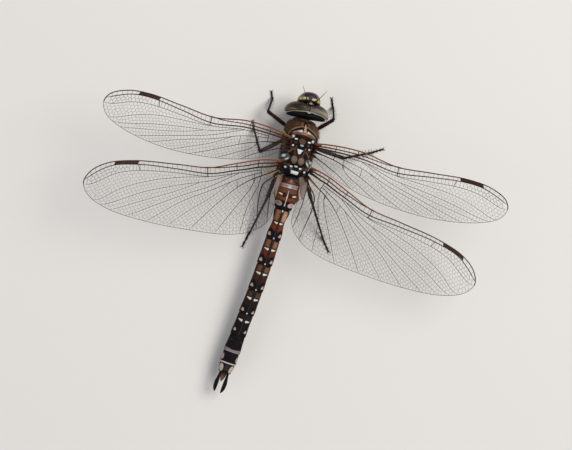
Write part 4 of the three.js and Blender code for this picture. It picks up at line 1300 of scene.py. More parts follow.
# Each outline goes from the hinge along the front edge, round the tip and back.
FORE_OUTLINE = [
    (-1.0, -0.35), (4.5, -1.0), (10.0, -0.95), (16.8, 0.3), (24.0, -0.05), (31.0, -0.4), (35.6, 0.2),
    (38.9, 1.8), (FORE_LENGTH, 3.6), (38.6, 5.6), (34.8, 7.3), (27.0, 8.5), (19.0, 8.3), (10.5, 6.9),
    (4.2, 4.7), (1.0, 2.7), (-1.0, 2.2),
]
HIND_OUTLINE = [
    (-1.0, -0.4), (3.6, -0.55), (9.0, 0.2), (14.3, 1.0), (21.0, 0.4), (29.0, -0.25), (34.6, 0.2),
    (38.0, 1.8), (HIND_LENGTH, 4.0), (38.4, 6.4), (34.6, 9.0), (27.0, 11.4), (18.0, 13.1), (10.5, 13.9),
    (5.5, 13.2), (2.2, 10.9), (0.9, 6.2), (-1.0, 2.6),
]
# Main veins, front to rear. Each is a start vein, its height in the folds, its thickness at the
# base and tip, and points of (share of the wing's length, share of the way back across it).
FORE_VEINS = {
    "costa": (None, 0.2, (0.16, 0.1), [(-0.02, 0.0), (1.0, 0.0)]),
    "subcosta": ("costa", -1.0, (0.1, 0.065), [(-0.02, 0.13), (0.1, 0.11), (0.3, 0.075), (0.425, 0.0)]),
    "radius": ("costa", 1.0, (0.13, 0.08), [
        (-0.02, 0.24), (0.1, 0.2), (0.3, 0.16), (0.43, 0.145), (0.6, 0.095), (0.73, 0.078),
        (0.87, 0.095), (0.965, 0.18)]),
    "radial_1": ("radius", -0.5, (0.07, 0.045), [
        (0.115, 0.28), (0.25, 0.235), (0.43, 0.215), (0.7, 0.205), (0.86, 0.29), (0.985, 0.53)]),
    "radial_2": ("radial_1", 0.3, (0.055, 0.04), [
        (0.42, 0.216), (0.55, 0.28), (0.72, 0.4), (0.85, 0.62), (0.965, 1.0)]),
    "between_2": ("radial_1", 0.7, (0.055, 0.04), [
        (0.28, 0.235), (0.4, 0.32), (0.56, 0.43), (0.72, 0.6), (0.84, 0.8), (0.93, 1.0)]),
    "planate_1": ("between_2", 0.0, (0.04, 0.035), [
        (0.46, 0.37), (0.56, 0.53), (0.68, 0.68), (0.8, 0.84), (0.885, 1.0)]),
    "radial_3": ("between_2", -0.7, (0.055, 0.04), [
        (0.25, 0.24), (0.38, 0.4), (0.52, 0.58), (0.66, 0.77), (0.8, 1.0)]),
    "median": ("radius", 0.7, (0.065, 0.04), [
        (0.115, 0.34), (0.26, 0.4), (0.4, 0.53), (0.55, 0.71), (0.72, 1.0)]),
    "planate_2": ("median", 0.0, (0.04, 0.035), [(0.3, 0.43), (0.38, 0.6), (0.48, 0.78), (0.6, 1.0)]),
    "median_rear": (None, -0.7, (0.1, 0.04), [
        (-0.02, 0.46), (0.11, 0.47), (0.2, 0.55), (0.33, 0.72), (0.5, 1.0)]),
    "cubital": ("median_rear", 0.6, (0.06, 0.04), [(0.16, 0.52), (0.185, 0.68), (0.27, 0.84), (0.36, 1.0)]),
    "anal": (None, -0.4, (0.07, 0.04), [(-0.02, 0.74), (0.08, 0.78), (0.15, 0.84), (0.23, 1.0)]),
}
HIND_VEINS = {
    "costa": (None, 0.2, (0.15, 0.1), [(-0.02, 0.0), (1.0, 0.0)]),
    "subcosta": ("costa", -1.0, (0.1, 0.065), [(-0.02, 0.12), (0.05, 0.06), (0.2, 0.05), (0.365, 0.0)]),
    "radius": ("costa", 1.0, (0.13, 0.08), [
        (-0.02, 0.25), (0.05, 0.13), (0.2, 0.1), (0.365, 0.092), (0.55, 0.07), (0.73, 0.062),
        (0.87, 0.078), (0.965, 0.17)]),
    "radial_1": ("radius", -0.5, (0.07, 0.045), [
        (0.1, 0.15), (0.22, 0.138), (0.365, 0.136), (0.65, 0.15), (0.84, 0.24), (0.985, 0.53)]),
    "radial_2": ("radial_1", 0.3, (0.055, 0.04), [
        (0.365, 0.137), (0.5, 0.19), (0.68, 0.33), (0.84, 0.58), (0.955, 1.0)]),
    "between_2": ("radial_1", 0.7, (0.055, 0.04), [
        (0.24, 0.137), (0.36, 0.2), (0.52, 0.32), (0.7, 0.52), (0.83, 0.76), (0.92, 1.0)]),
    "planate_1": ("between_2", 0.0, (0.04, 0.035), [
        (0.42, 0.245), (0.52, 0.4), (0.66, 0.6), (0.78, 0.8), (0.87, 1.0)]),
    "radial_3": ("between_2", -0.7, (0.055, 0.04), [
        (0.21, 0.137), (0.33, 0.25), (0.48, 0.44), (0.64, 0.7), (0.79, 1.0)]),
    "median": ("radius", 0.7, (0.065, 0.04), [
        (0.1, 0.185), (0.22, 0.225), (0.36, 0.35), (0.52, 0.6), (0.69, 1.0)]),
    "planate_2": ("median", 0.0, (0.04, 0.035), [(0.26, 0.255), (0.36, 0.46), (0.47, 0.7), (0.585, 1.0)]),
    "median_rear": (None, -0.7, (0.11, 0.04), [
        (-0.02, 0.5), (0.03, 0.27), (0.1, 0.24), (0.2, 0.31), (0.33, 0.56), (0.47, 1.0)]),
    "cubital": ("median_rear", 0.6, (0.06, 0.04), [
        (0.13, 0.255), (0.15, 0.36), (0.2, 0.52), (0.27, 0.74), (0.34, 1.0)]),
    "anal_loop": ("anal", 0.0, (0.05, 0.04), [(0.105, 0.34), (0.14, 0.48), (0.18, 0.7), (0.21, 1.0)]),
    "anal": (None, -0.4, (0.1, 0.045), [
        (-0.02, 0.7), (0.02, 0.38), (0.06, 0.33), (0.1, 0.42), (0.115, 0.6), (0.125, 1.0)]),
    "anal_rear": ("anal", 0.2, (0.06, 0.04), [(0.025, 0.37), (0.045, 0.5), (0.06, 0.7), (0.07, 1.0)]),
}
STOUT_VEINS = ("costa", "subcosta", "radius")
# Where the main veins leave the body, in millimetres behind the hinge, and how far out they run straight.
FORE_ROOTS = [("subcosta", -0.1, 3.0), ("radius", 0.2, 3.6), ("median_rear", 0.75, 4.2), ("anal", 1.3, 3.0)]
HIND_ROOTS = [("subcosta", -0.1, 2.0), ("radius", 0.25, 3.0), ("median_rear", 0.9, 4.0), ("anal", 1.45, 2.0)]
ROOT_LINE_X = -0.7  # the veins' straight roots start this far from the hinge
ROOT_BEND = 0.8  # the stretch beside the body where the wing bends down
ROOT_DROP = 0.6
# What differs between the pairs. The arculus, the nodus and the ties are shares of the length. Each
# amber streak is a vein, where it starts and ends, and its width.
FORE_WING = {
    "length": FORE_LENGTH,
    "outline": FORE_OUTLINE,
    "veins": FORE_VEINS,
    "roots": FORE_ROOTS,
    "arculus": 0.117,
    "nodus": 0.435,
    "ties": (0.165, 0.26),
    "seed": 5,
    "amber": [("radius", 0.3, 2.6, 0.2), ("median_rear", 0.3, 3.0, 0.24)],
}
HIND_WING = {
    "length": HIND_LENGTH,
    "outline": HIND_OUTLINE,
    "veins": HIND_VEINS,
    "roots": HIND_ROOTS,
    "arculus": 0.102,
    "nodus": 0.375,
    "ties": (0.135, 0.225),
    "seed": 6,
    "amber": [("radius", 0.2, 3.4, 0.3), ("median_rear", 0.2, 4.0, 0.36), ("anal", 0.3, 2.8, 0.28)],
}
# Where each wing's veins come out of the body, and where its pterostigma starts and ends, all from
# its hinge.
WING_SPANS = {
    "wing_fore_left": (-0.35, 28.6, 33.0),
    "wing_fore_right": (0.35, 29.3, 34.0),
    "wing_hind_left": (-0.3, 28.4, 33.1),
    "wing_hind_right": (0.25, 30.0, 34.8),
}
# The inner and outer edge of the brown flap at the base of each hind wing.
MEMBRANULE_EDGES = {
    "wing_hind_left": (
        [(-0.75, 2.3), (-0.3, 3.5), (0.5, 5.0), (0.98, 6.6)],
        [(-0.6, 1.95), (0.5, 2.7), (1.08, 4.2), (1.12, 6.6)],
    ),
    "wing_hind_right": (
        [(-0.9, 2.3), (-0.15, 3.6), (0.7, 4.9), (1.7, 6.0)],
        [(-0.6, 1.9), (0.95, 2.5), (1.6, 3.6), (1.9, 5.8)],
    ),
}
FOLD_DEPTH = 0.17
FOLD_TIP_SHARE = 0.22
FOLD_FADE = 11  # how far out the folds have mostly faded
FOLD_FULL_GAP = 0.5  # strips narrower than this are less folded
CAMBER = 0.0006
MEMBRANE_HALF = 0.012
STIGMA_HALF = 0.075
PATCH_HALF = 0.03
VEIN_DARK = colour("#1a100c")
VEIN_ORANGE = colour("#7f4a26")
VEIN_BROWN = colour("#5a3019")
# The plates at the root: the vein each lies on, how far out, how far behind it, half sizes, colour.
ROOT_PLATES = [
    ("costa", -0.1, 0.12, (0.75, 0.24, 0.26), mixed(VEIN_ORANGE, BLACK, 0.35)),
    ("costa", 0.7, 0.02, (0.5, 0.15, 0.18), VEIN_ORANGE),
    ("subcosta", -0.35, 0.12, (0.6, 0.2, 0.24), "#1d120e"),
    ("radius", -0.2, 0.1, (0.8, 0.24, 0.28), "#160e0c"),
    ("radius", 0.75, 0.0, (0.55, 0.15, 0.2), "#4a2816"),
    ("median_rear", -0.3, 0.05, (0.8, 0.26, 0.28), "#120c0b"),
    ("median_rear", 0.6, 0.02, (0.6, 0.16, 0.2), "#3f2616"),
    ("anal", -0.35, 0.0, (0.62, 0.24, 0.24), "#241812"),
    ("anal", 0.4, 0.0, (0.45, 0.13, 0.16), "#4a3220"),
    ("median_rear", -0.8, -0.3, (0.35, 0.3, 0.26), "#0f0b0a"),
]


class Wing:
    """One wing's plan, folds and place."""

    def __init__(self, name):
        self.name = name
        self.side, self.fore, hinge, lift, sweep = WINGS[name]
        self.hinge = np.array(hinge)
        self.lift, self.sweep = math.radians(lift), math.radians(sweep)
        pair = FORE_WING if self.fore else HIND_WING
        self.length, self.veins, self.roots = pair["length"], pair["veins"], pair["roots"]
        self.arculus, self.nodus, self.ties = pair["arculus"], pair["nodus"], pair["ties"]
        self.seed, self.amber = pair["seed"], pair["amber"]
        self.root_x, *self.stigma = WING_SPANS[name]
        loop = rounded_path(pair["outline"], 24)
        tip = int(np.argmax(loop[:, 0]))
        self.front, self.rear = loop[: tip + 1], loop[tip:]
        self.tip_x = self.front[-1, 0]
        tip_stations = np.linspace(self.tip_x - 1.45, self.tip_x - 0.004, 70)
        self.x = np.concatenate([np.linspace(-0.9, self.tip_x - 1.5, 330), tip_stations])
        self.front_y = np.interp(self.x, *self.front.T)
        self.rear_y = np.interp(self.x, *self.rear[::-1].T)
        self.find_veins()

    def find_veins(self):
        """Every main vein as y over self.x, front to rear. Before it starts it lies on its start vein."""
        lines = self.lines = {}
        self.reach = {}
        for name, (_, _, _, points) in self.veins.items():
            path = rounded_path([(a * self.length, v) for a, v in points], 16)
            share = np.interp(self.x, path[:, 0], path[:, 1])
            lines[name] = self.front_y + (self.rear_y - self.front_y) * np.clip(share, 0, 1)
            self.reach[name] = (points[0][0] * self.length, points[-1][0] * self.length)
        for name, (parent, *_) in self.veins.items():
            start = self.reach[name][0]
            if parent and start > 0.5:
                lines[name] = np.where(self.x < start, lines[parent], lines[name])
        for name, root_y, reach in self.roots:
            there = np.interp(reach, self.x, lines[name])
            share = (self.x - ROOT_LINE_X) / (reach - ROOT_LINE_X)
            lines[name] = np.where(self.x < reach, root_y + (there - root_y) * share, lines[name])
        for before, name in zip(list(lines), list(lines)[1:]):
            lines[name] = np.maximum(lines[name], lines[before])
        lines["margin"] = self.rear_y
        self.rows = list(lines)

    def y_of(self, name, x):
        return np.interp(x, self.x, self.lines[name])

    def front_of(self, x):
        return np.interp(x, self.x, self.front_y)

    def heights(self, points):
        """The folded surface's height at points of (x, y)."""
        points = np.atleast_2d(points)
        x = np.clip(points[:, 0], self.x[0], self.x[-1])
        rows = np.array([self.y_of(n, x) for n in self.rows])
        folds = np.array([fold for _, fold, _, _ in self.veins.values()] + [0.0])
        depth = FOLD_DEPTH * (FOLD_TIP_SHARE + (1 - FOLD_TIP_SHARE) * np.exp(-np.maximum(x, 0) / FOLD_FADE))
        i = np.clip(np.sum(rows <= points[:, 1], axis=0) - 1, 0, len(rows) - 2)
        index = np.arange(len(x))
        upper, lower = rows[i, index], rows[i + 1, index]
        t = np.clip((points[:, 1] - upper) / np.maximum(lower - upper, 1e-4), 0, 1)
        fade = np.clip((lower - upper) / FOLD_FULL_GAP, 0.15, 1)
        fold = folds[i] * (1 - t) + folds[i + 1] * t
        camber = -CAMBER * (x / self.length) * points[:, 1] ** 2
        bend = -ROOT_DROP * np.clip(self.root_x + ROOT_BEND - points[:, 0], 0, 1.2) ** 2
        return fold * depth * fade + camber + bend

    def place(self, local):
        """Points of the wing's own plane carried to the body."""
        local = np.asarray(local, float)
        x, y, z = local[..., 0] * WING_TRIM, local[..., 1], local[..., 2]
        across = self.side * (x * math.cos(self.lift) - z * math.sin(self.lift))
        up = x * math.sin(self.lift) + z * math.cos(self.lift)
        cos, sin = math.cos(self.side * self.sweep), math.sin(self.side * self.sweep)
        return np.stack([across * cos - y * sin, across * sin + y * cos, up], axis=-1) + self.hinge

    def raise_to(self, plan, extra=0.0):
        """Plan points given their height on the folded surface, and placed on the body."""
        plan = np.asarray(plan, float)
        flat = plan.reshape(-1, 2)
        return self.place(np.column_stack([flat, self.heights(flat) + extra])).reshape(plan.shape[:-1] + (3,))


CELL_ROW = 0.62
CELL_COLUMN = 0.66
MID_CELL_COLUMN = 0.75  # behind the radius and its first branch
EDGE_CELL_COLUMN = 0.95  # in the one row of cells between the costa and the radius
CELLS_START = 0.25  # how far out from the hinge the first cells lie
SINGLE_ROW = 1.3  # the widest strip that has one row of cells near the base
RIM_STEP = 0.5
CENTRE_STRAY = 0.35
CELL_EDGE_LENGTHS = (0.03, 2.4)
THIN_VEIN = 0.019


def wing_seeds(wing):
    """One seed for each cell, in rows between neighbouring veins, with the strip that it lies in."""
    seeds, strips = [], []
    chooser = random.Random(wing.seed)
    for strip, (upper, lower) in enumerate(zip(wing.rows, wing.rows[1:])):
        gap = wing.lines[lower] - wing.lines[upper]
        narrow = upper in ("costa", "subcosta")
        column = MID_CELL_COLUMN if upper in ("radius", "radial_1") else CELL_COLUMN
        if narrow:
            column = EDGE_CELL_COLUMN
        x = CELLS_START + chooser.random() * column
        while x < wing.x[-1] - 0.15:
            here = np.interp(x, wing.x, gap)
            if here > 0.2:
                share = x / wing.length
                count = max(1, int(round(here / (CELL_ROW * (1.25 if share < 0.2 else 1.0)))))
                if narrow or (here < SINGLE_ROW and (upper == "radius" or share < 0.42)):
                    count = 1
                for row in range(count):
                    shift = column * (0.25 if row % 2 else -0.25) if count > 1 else 0
                    sx = x + shift + column * 0.12 * (chooser.random() - 0.5)
                    wander = 0.16 * (chooser.random() - 0.5) if count > 1 else 0
                    wide = np.interp(sx, wing.x, gap)
                    seeds.append((sx, wing.y_of(upper, sx) + wide * (row + 0.5 + wander) / count))
                    strips.append(strip)
            x += column * (1 + 0.1 * (chooser.random() - 0.5))
    return np.array(seeds), np.array(strips)


def cell_edges(wing):
    """The thin cross veins, as pairs of plan points, from the cells round the seeds."""
    seeds, strips = wing_seeds(wing)
    loop = np.vstack([wing.front, wing.rear])
    travelled = np.concatenate([[0], np.cumsum(np.linalg.norm(np.diff(loop, axis=0), axis=1))])
    marks = np.arange(0, travelled[-1], RIM_STEP)
    rim = np.column_stack([np.interp(marks, travelled, loop[:, k]) for k in (0, 1)])
    ahead = unit(np.roll(rim, -1, axis=0) - np.roll(rim, 1, axis=0))
    outside = rim + np.column_stack([ahead[:, 1], -ahead[:, 0]]) * 0.3
    strip_of = np.concatenate([strips, np.full(len(outside), -1)])
    every = np.vstack([seeds, outside]).tolist()
    result = geometry.delaunay_2d_cdt([Vector(p) for p in every], [], [], 0, 1e-5)
    strip_of = np.array([strip_of[group[0]] if group else -1 for group in result[3]])
    triangles = np.array([f for f in result[2] if len(f) == 3])
    # The middle of the circle through each triangle's corners.
    a, b, c = (np.array([[v.x, v.y] for v in result[0]])[triangles[:, k]] for k in range(3))
    aa, bb, cc = ((v**2).sum(axis=1) for v in (a, b, c))
    bc, ca, ab = b - c, c - a, a - b
    twice = 2 * (a[:, 0] * bc[:, 1] + b[:, 0] * ca[:, 1] + c[:, 0] * ab[:, 1])
    twice = np.where(np.abs(twice) < 1e-9, 1e-9, twice)
    centre = np.column_stack(
        [
            (aa * bc[:, 1] + bb * ca[:, 1] + cc * ab[:, 1]) / twice,
            (aa * -bc[:, 0] + bb * -ca[:, 0] + cc * -ab[:, 0]) / twice,
        ]
    )
    # It may not stray far from its triangle, and one between strips sits on the vein there.
    middle = (a + b + c) / 3
    stray = centre - middle
    centre = middle + stray / np.maximum(np.linalg.norm(stray, axis=1) / CENTRE_STRAY, 1)[:, None]
    for t, triangle in enumerate(triangles):
        around = {int(strip_of[k]) for k in triangle}
        if len(around) == 1:
            continue
        x, y = centre[t]
        if -1 not in around:
            centre[t, 1] = wing.y_of(wing.rows[max(around)], x)
        elif wing.tip_x - x > 1.2:
            edges = wing.front_of(x), wing.y_of("margin", x)
            centre[t, 1] = min(edges, key=lambda edge: abs(y - edge))
        else:
            centre[t] = rim[np.argmin(((rim - centre[t]) ** 2).sum(axis=1))]
    sides = {}
    for t, triangle in enumerate(triangles.tolist()):
        for p, q in zip(triangle, triangle[1:] + triangle[:1]):
            sides.setdefault((min(p, q), max(p, q)), []).append(t)
    edges = []
    for (p, q), owners in sides.items():
        if len(owners) == 2 and strip_of[p] == strip_of[q] and strip_of[p] >= 0:
            start, end = centre[owners]
            if CELL_EDGE_LENGTHS[0] < np.linalg.norm(start - end) < CELL_EDGE_LENGTHS[1]:
                edges.append((start, end, strip_of[p]))
    return edges


def add_rods(heap, starts, ends, radius, tint):
    """Thin square rods between pairs of points, all at once."""
    across, up = crosswise(unit(ends - starts))
    radius = radius[:, None]
    corners = []
    for base in (starts, ends):
        corners += [base + across * radius, base + up * radius, base - across * radius, base - up * radius]
    points = np.stack(corners, axis=1).reshape(-1, 3)
    pattern = np.array([[0, 1, 5, 4], [1, 2, 6, 5], [2, 3, 7, 6], [3, 0, 4, 7], [3, 2, 1, 0], [4, 5, 6, 7]])
    faces = (np.arange(len(starts))[:, None, None] * 8 + pattern[None]).reshape(-1, 4).tolist()
    heap.add(points, faces, np.repeat(tint, 8, axis=0))


def to_margin(wing, path, reach=1.6, step=0.1):
    """The points that carry a vein straight on to the wing's edge, or none if the edge is too far."""
    aim = unit(path[-1] - path[-4])
    points = path[-1] + aim * (np.arange(1, int(reach / step)) * step)[:, None]
    x, y = points.T
    outside = (y > wing.y_of("margin", x)) | (y < wing.front_of(x)) | (x > wing.tip_x - 0.05)
    if not outside.any() or outside[0]:
        return np.empty((0, 2))
    return points[: int(np.argmax(outside))]


def vein_path(wing, name):
    """A main vein's plan points, joined to what it springs from and to the margin."""
    if name == "costa":
        return wing.front[wing.front[:, 0] > wing.root_x]
    start = max(wing.reach[name][0], wing.root_x)
    end = min(wing.reach[name][1], wing.tip_x - 0.01)
    x = np.linspace(start, end, max(12, int((end - start) / 0.3)))
    path = np.column_stack([x, wing.y_of(name, x)])
    if name in ("radial_1", "median"):
        # These two spring from the arculus, the cross piece near the base.
        path = path[x > start + 0.02]
        path = np.vstack([[wing.arculus * wing.length - 0.07, path[0, 1] - 0.02], path])
    if name == "anal_loop":
        path = np.vstack([[start - 0.1, wing.y_of("median_rear", start - 0.1)], path[1:]])
    return np.vstack([path, to_margin(wing, path)])


def make_veins(wing):
    heap = Heap()
    for name, (_, _, (thick, thin), _) in wing.veins.items():
        path = vein_path(wing, name)
        share = np.clip(path[:, 0] / wing.length, 0, 1)
        stout = thick if name == "costa" else thick * 1.55
        radius = thin + (stout - thin) * np.exp(-share / (0.26 if name in STOUT_VEINS else 0.15))
        if name == "costa":
            radius = radius * (1 + 0.35 * bell(share - wing.nodus, 0.012))
        else:
            radius = radius * (0.5 + 0.5 * step_up(0, 1.6, np.linalg.norm(path - path[-1], axis=1)))
        skin, faces = tube(wing.raise_to(path), radius, 8)
        tint, mark = painter(VEIN_DARK, 0.45, skin)
        out = per_point(share, 8, 0, share[-1])
        out[-2] = share[0]
        if name == "costa":
            mark(1 - step_up(0.15, 0.6, out) * 0.72, mixed(VEIN_ORANGE, VEIN_BROWN, 0.25))
        elif name in STOUT_VEINS:
            mark(band(0.03, 0.5, 0.05, out) * 0.4, VEIN_BROWN)
        heap.add(skin, faces, tint)

    # The margin behind, from the tip round to the base.
    rear = wing.rear[wing.rear[:, 0] > wing.root_x]
    skin, faces = tube(wing.raise_to(rear), np.linspace(0.045, 0.035, len(rear)), 6)
    heap.add(skin, faces, tint_of(mixed(VEIN_DARK, VEIN_BROWN, 0.5), 0.45))

    starts, ends, strip = (np.array(v) for v in zip(*cell_edges(wing)))
    tint, mark = painter("#3b2a20", 0.5, starts)
    mark((strip <= 1) * 0.5, VEIN_BROWN)
    radius = THIN_VEIN * np.where(strip <= 2, 1.5, 1.0)
    add_rods(heap, wing.raise_to(starts), wing.raise_to(ends), radius, tint)

    # Cross pieces: the two stout antenodals, the nodus, the arculus, the triangle's two and the brace.
    for share, upper, lower, radius, lean in (
        (0.115, "costa", "radius", 0.07, 0.0),
        (0.225, "costa", "radius", 0.07, 0.0),
        (wing.nodus, "costa", "radial_1", 0.085, 0.0),
        (wing.arculus, "radius", "median_rear", 0.065, -0.15),
        (wing.ties[0], "median", "cubital", 0.05, 0.2),
        (wing.ties[1], "median", "median_rear", 0.045, -0.1),
        (0.725, "radius", "radial_1", 0.06, -0.3),
    ):
        x = share * wing.length
        top = np.array([x, wing.y_of(upper, x)])
        foot = np.array([x + lean, wing.y_of(lower, x + lean)])
        path = top + (foot - top) * np.linspace(0, 1, 5)[:, None]
        skin, faces = tube(wing.raise_to(path, 0.02), radius, 6)
        heap.add(skin, faces, tint_of(VEIN_DARK, 0.45))
    heap.piece(wing.name + "_veins", VEIN_SHELL)


def closed_sheet(plan, wing, half, rise=0.0):
    """A thin closed sheet over a grid of plan points."""
    rows, columns = plan.shape[:2]
    count = rows * columns
    over, under = (wing.raise_to(plan, rise + side * half).reshape(-1, 3) for side in (1, -1))
    quads = grid_quads(rows, columns, False)
    index = np.arange(count).reshape(rows, columns)
    rim = np.concatenate([index[0], index[1:, -1], index[-1, -2::-1], index[-2:0:-1, 0]])
    following = np.roll(rim, -1)
    side = np.stack([following, rim, rim + count, following + count], axis=1)
    return np.vstack([over, under]), np.vstack([quads, quads[:, ::-1] + count, side]).tolist()


def plan_grid(x, y):
    return np.stack(np.broadcast_arrays(x[:, None], y), axis=-1)


def make_membrane(wing):
    round_tip = 1.2 * (1 - np.sin(np.linspace(0.08, 1, 24) * math.pi / 2))
    x = np.concatenate([np.linspace(-0.5, wing.tip_x - 1.2, 150), wing.tip_x - round_tip - 0.005])
    front = wing.front_of(x)[:, None]
    plan = plan_grid(x, front + (wing.y_of("margin", x)[:, None] - front) * np.linspace(0, 1, 45))
    points, faces = closed_sheet(plan, wing, MEMBRANE_HALF)
    make_piece(wing.name + "_membrane", points, faces, MEMBRANE, tint_of("#d8cfc0", 0.2), [wing.name])


def make_wing_marks(wing):
    """The pterostigma, the amber cells at the base and the membranule."""
    x = np.linspace(*wing.stigma, 30)
    top = wing.y_of("costa", x)[:, None]
    plan = plan_grid(x, top + (wing.y_of("radius", x)[:, None] - top) * np.linspace(0.02, 0.98, 7))
    plan[..., 0] += (plan[..., 1] - plan[..., :1, 1]) * 0.5
    points, faces = closed_sheet(plan, wing, STIGMA_HALF)
    tint, mark = painter("#2a1d1a", 0.4, points)
    mark(step_up(-0.2, 0.6, rough_field(points, 0.8)) * 0.4, "#4a2c20")
    make_piece(wing.name + "_pterostigma", points, faces, VEIN_SHELL, tint)

    heap = Heap()
    for vein, start, end, wide in wing.amber:
        x = np.linspace(start, end, 22)
        t = (x - start) / (end - start)
        across = wide * (1 - t**2) * (0.5 + 0.5 * step_up(0, 0.25, t))
        y = wing.y_of(vein, x)[:, None] + across[:, None] * np.linspace(0, 1, 5) + 0.03
        heap.add(*closed_sheet(plan_grid(x, y), wing, PATCH_HALF), tint_of("#a3701f", 0.3))
    heap.piece(wing.name + "_amber", AMBER_MEMBRANE)

    if not wing.fore:
        inner, outer = (rounded_path(edge, 12)[:, None] for edge in MEMBRANULE_EDGES[wing.name])
        v = np.linspace(0, 1, 9)[None, :, None]
        points, faces = closed_sheet(inner * (1 - v) + outer * v, wing, PATCH_HALF, 0.02)
        make_piece(wing.name + "_membranule", points, faces, MEMBRANULE, tint_of("#a08a78", 0.5))


def make_wing_roots(wing):
    """The small hard plates that carry the veins from the thorax."""
    heap = Heap()
    for vein, x, behind, reach, rgb in ROOT_PLATES:
        x = x + wing.root_x - ROOT_LINE_X
        y = wing.y_of(vein, x)
        lean = math.atan2(wing.y_of(vein, x + 0.5) - y, 0.5)
        skin, faces = dome((0, 0, 0), reach, 20, 24, 0.12)
        level = wing.heights(np.array([[x, y + behind]]))[0]
        skin = wing.place(turned(skin, 0, 1, lean) + np.array([x, y + behind, level - 0.03]))
        tint, mark = painter(rgb, 0.42, skin)
        mark(step_up(0.0, 0.6, rough_field(skin, 0.25)) * 0.55, BLACK)
        heap.add(skin, faces, tint)
    heap.piece(wing.name + "_root", VEIN_SHELL)


for wing_name in WINGS:
    wing = Wing(wing_name)
    make_membrane(wing)
    make_veins(wing)
    make_wing_marks(wing)
    make_wing_roots(wing)

# ---------------------------------------------------------------- legs

TRUNK_MIDDLE = np.array([0.0, -1.0, 5.0])
LEG_RADII = {"front": (0.6, 0.42, 0.27), "middle": (0.62, 0.45, 0.28), "hind": (0.64, 0.46, 0.3)}
# The femurs' tints differ from side to side by painted light: the left ones are lighter, the middle left
# greyest as a painted sheen, and the right ones darker as painted shade.
FEMUR_TINTS = {
    "front_left": "#34150d",
    "front_right": "#2a130d",
    "middle_left": "#4d4444",
    "middle_right": "#3c3536",
    "hind_left": "#2a2328",
    "hind_right": "#241d20",
}
ANKLE_HEIGHT = 0.62
LEG_DARK = tint_of("#141113", 0.4)
# The shares of a foot's length where its three joints end.
FOOT_JOINTS = (0.0, 0.2, 0.5, 0.86)


def ordered(node, near):
    """The middles of a long solid's two ends, in millimetres of the body, the one near a place first."""
    points = np.array([v.co[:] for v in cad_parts[node].data.vertices]) / MM - ORIGIN
    middle = points.mean(axis=0)
    axis = np.linalg.svd(points - middle, full_matrices=False)[2][0]
    along = (points - middle) @ axis
    ends = [middle + axis * end for end in (along.min(), along.max())]
    return sorted(ends, key=lambda place: np.linalg.norm(place - near))


def spine_row(heap, start, end, radius, count, length, lean, down=0.5):
    """Stiff bristles in two rows along a limb, leaning to its far end."""
    along = unit(end - start)
    across, up = crosswise(along)
    step = np.linspace(0, 1, 4)
    for side in (-1, 1):
        for k in range(count):
            t = (k + 0.7) / (count + 0.3)
            size = length * (0.75 + 0.35 * math.sin(math.pi * t)) * random.uniform(0.9, 1.1)
            root = start + (end - start) * t + across * side * radius * 0.7 - up * radius * down
            aim = unit(along * lean + across * side * 0.8 - up * down)
            path = root + aim * (step * size)[:, None] + along * (0.12 * size * step**2)[:, None]
            skin, faces = tube(path, np.array([0.05, 0.042, 0.03, 0.014]), 5)
            heap.add(skin, faces, LEG_DARK)


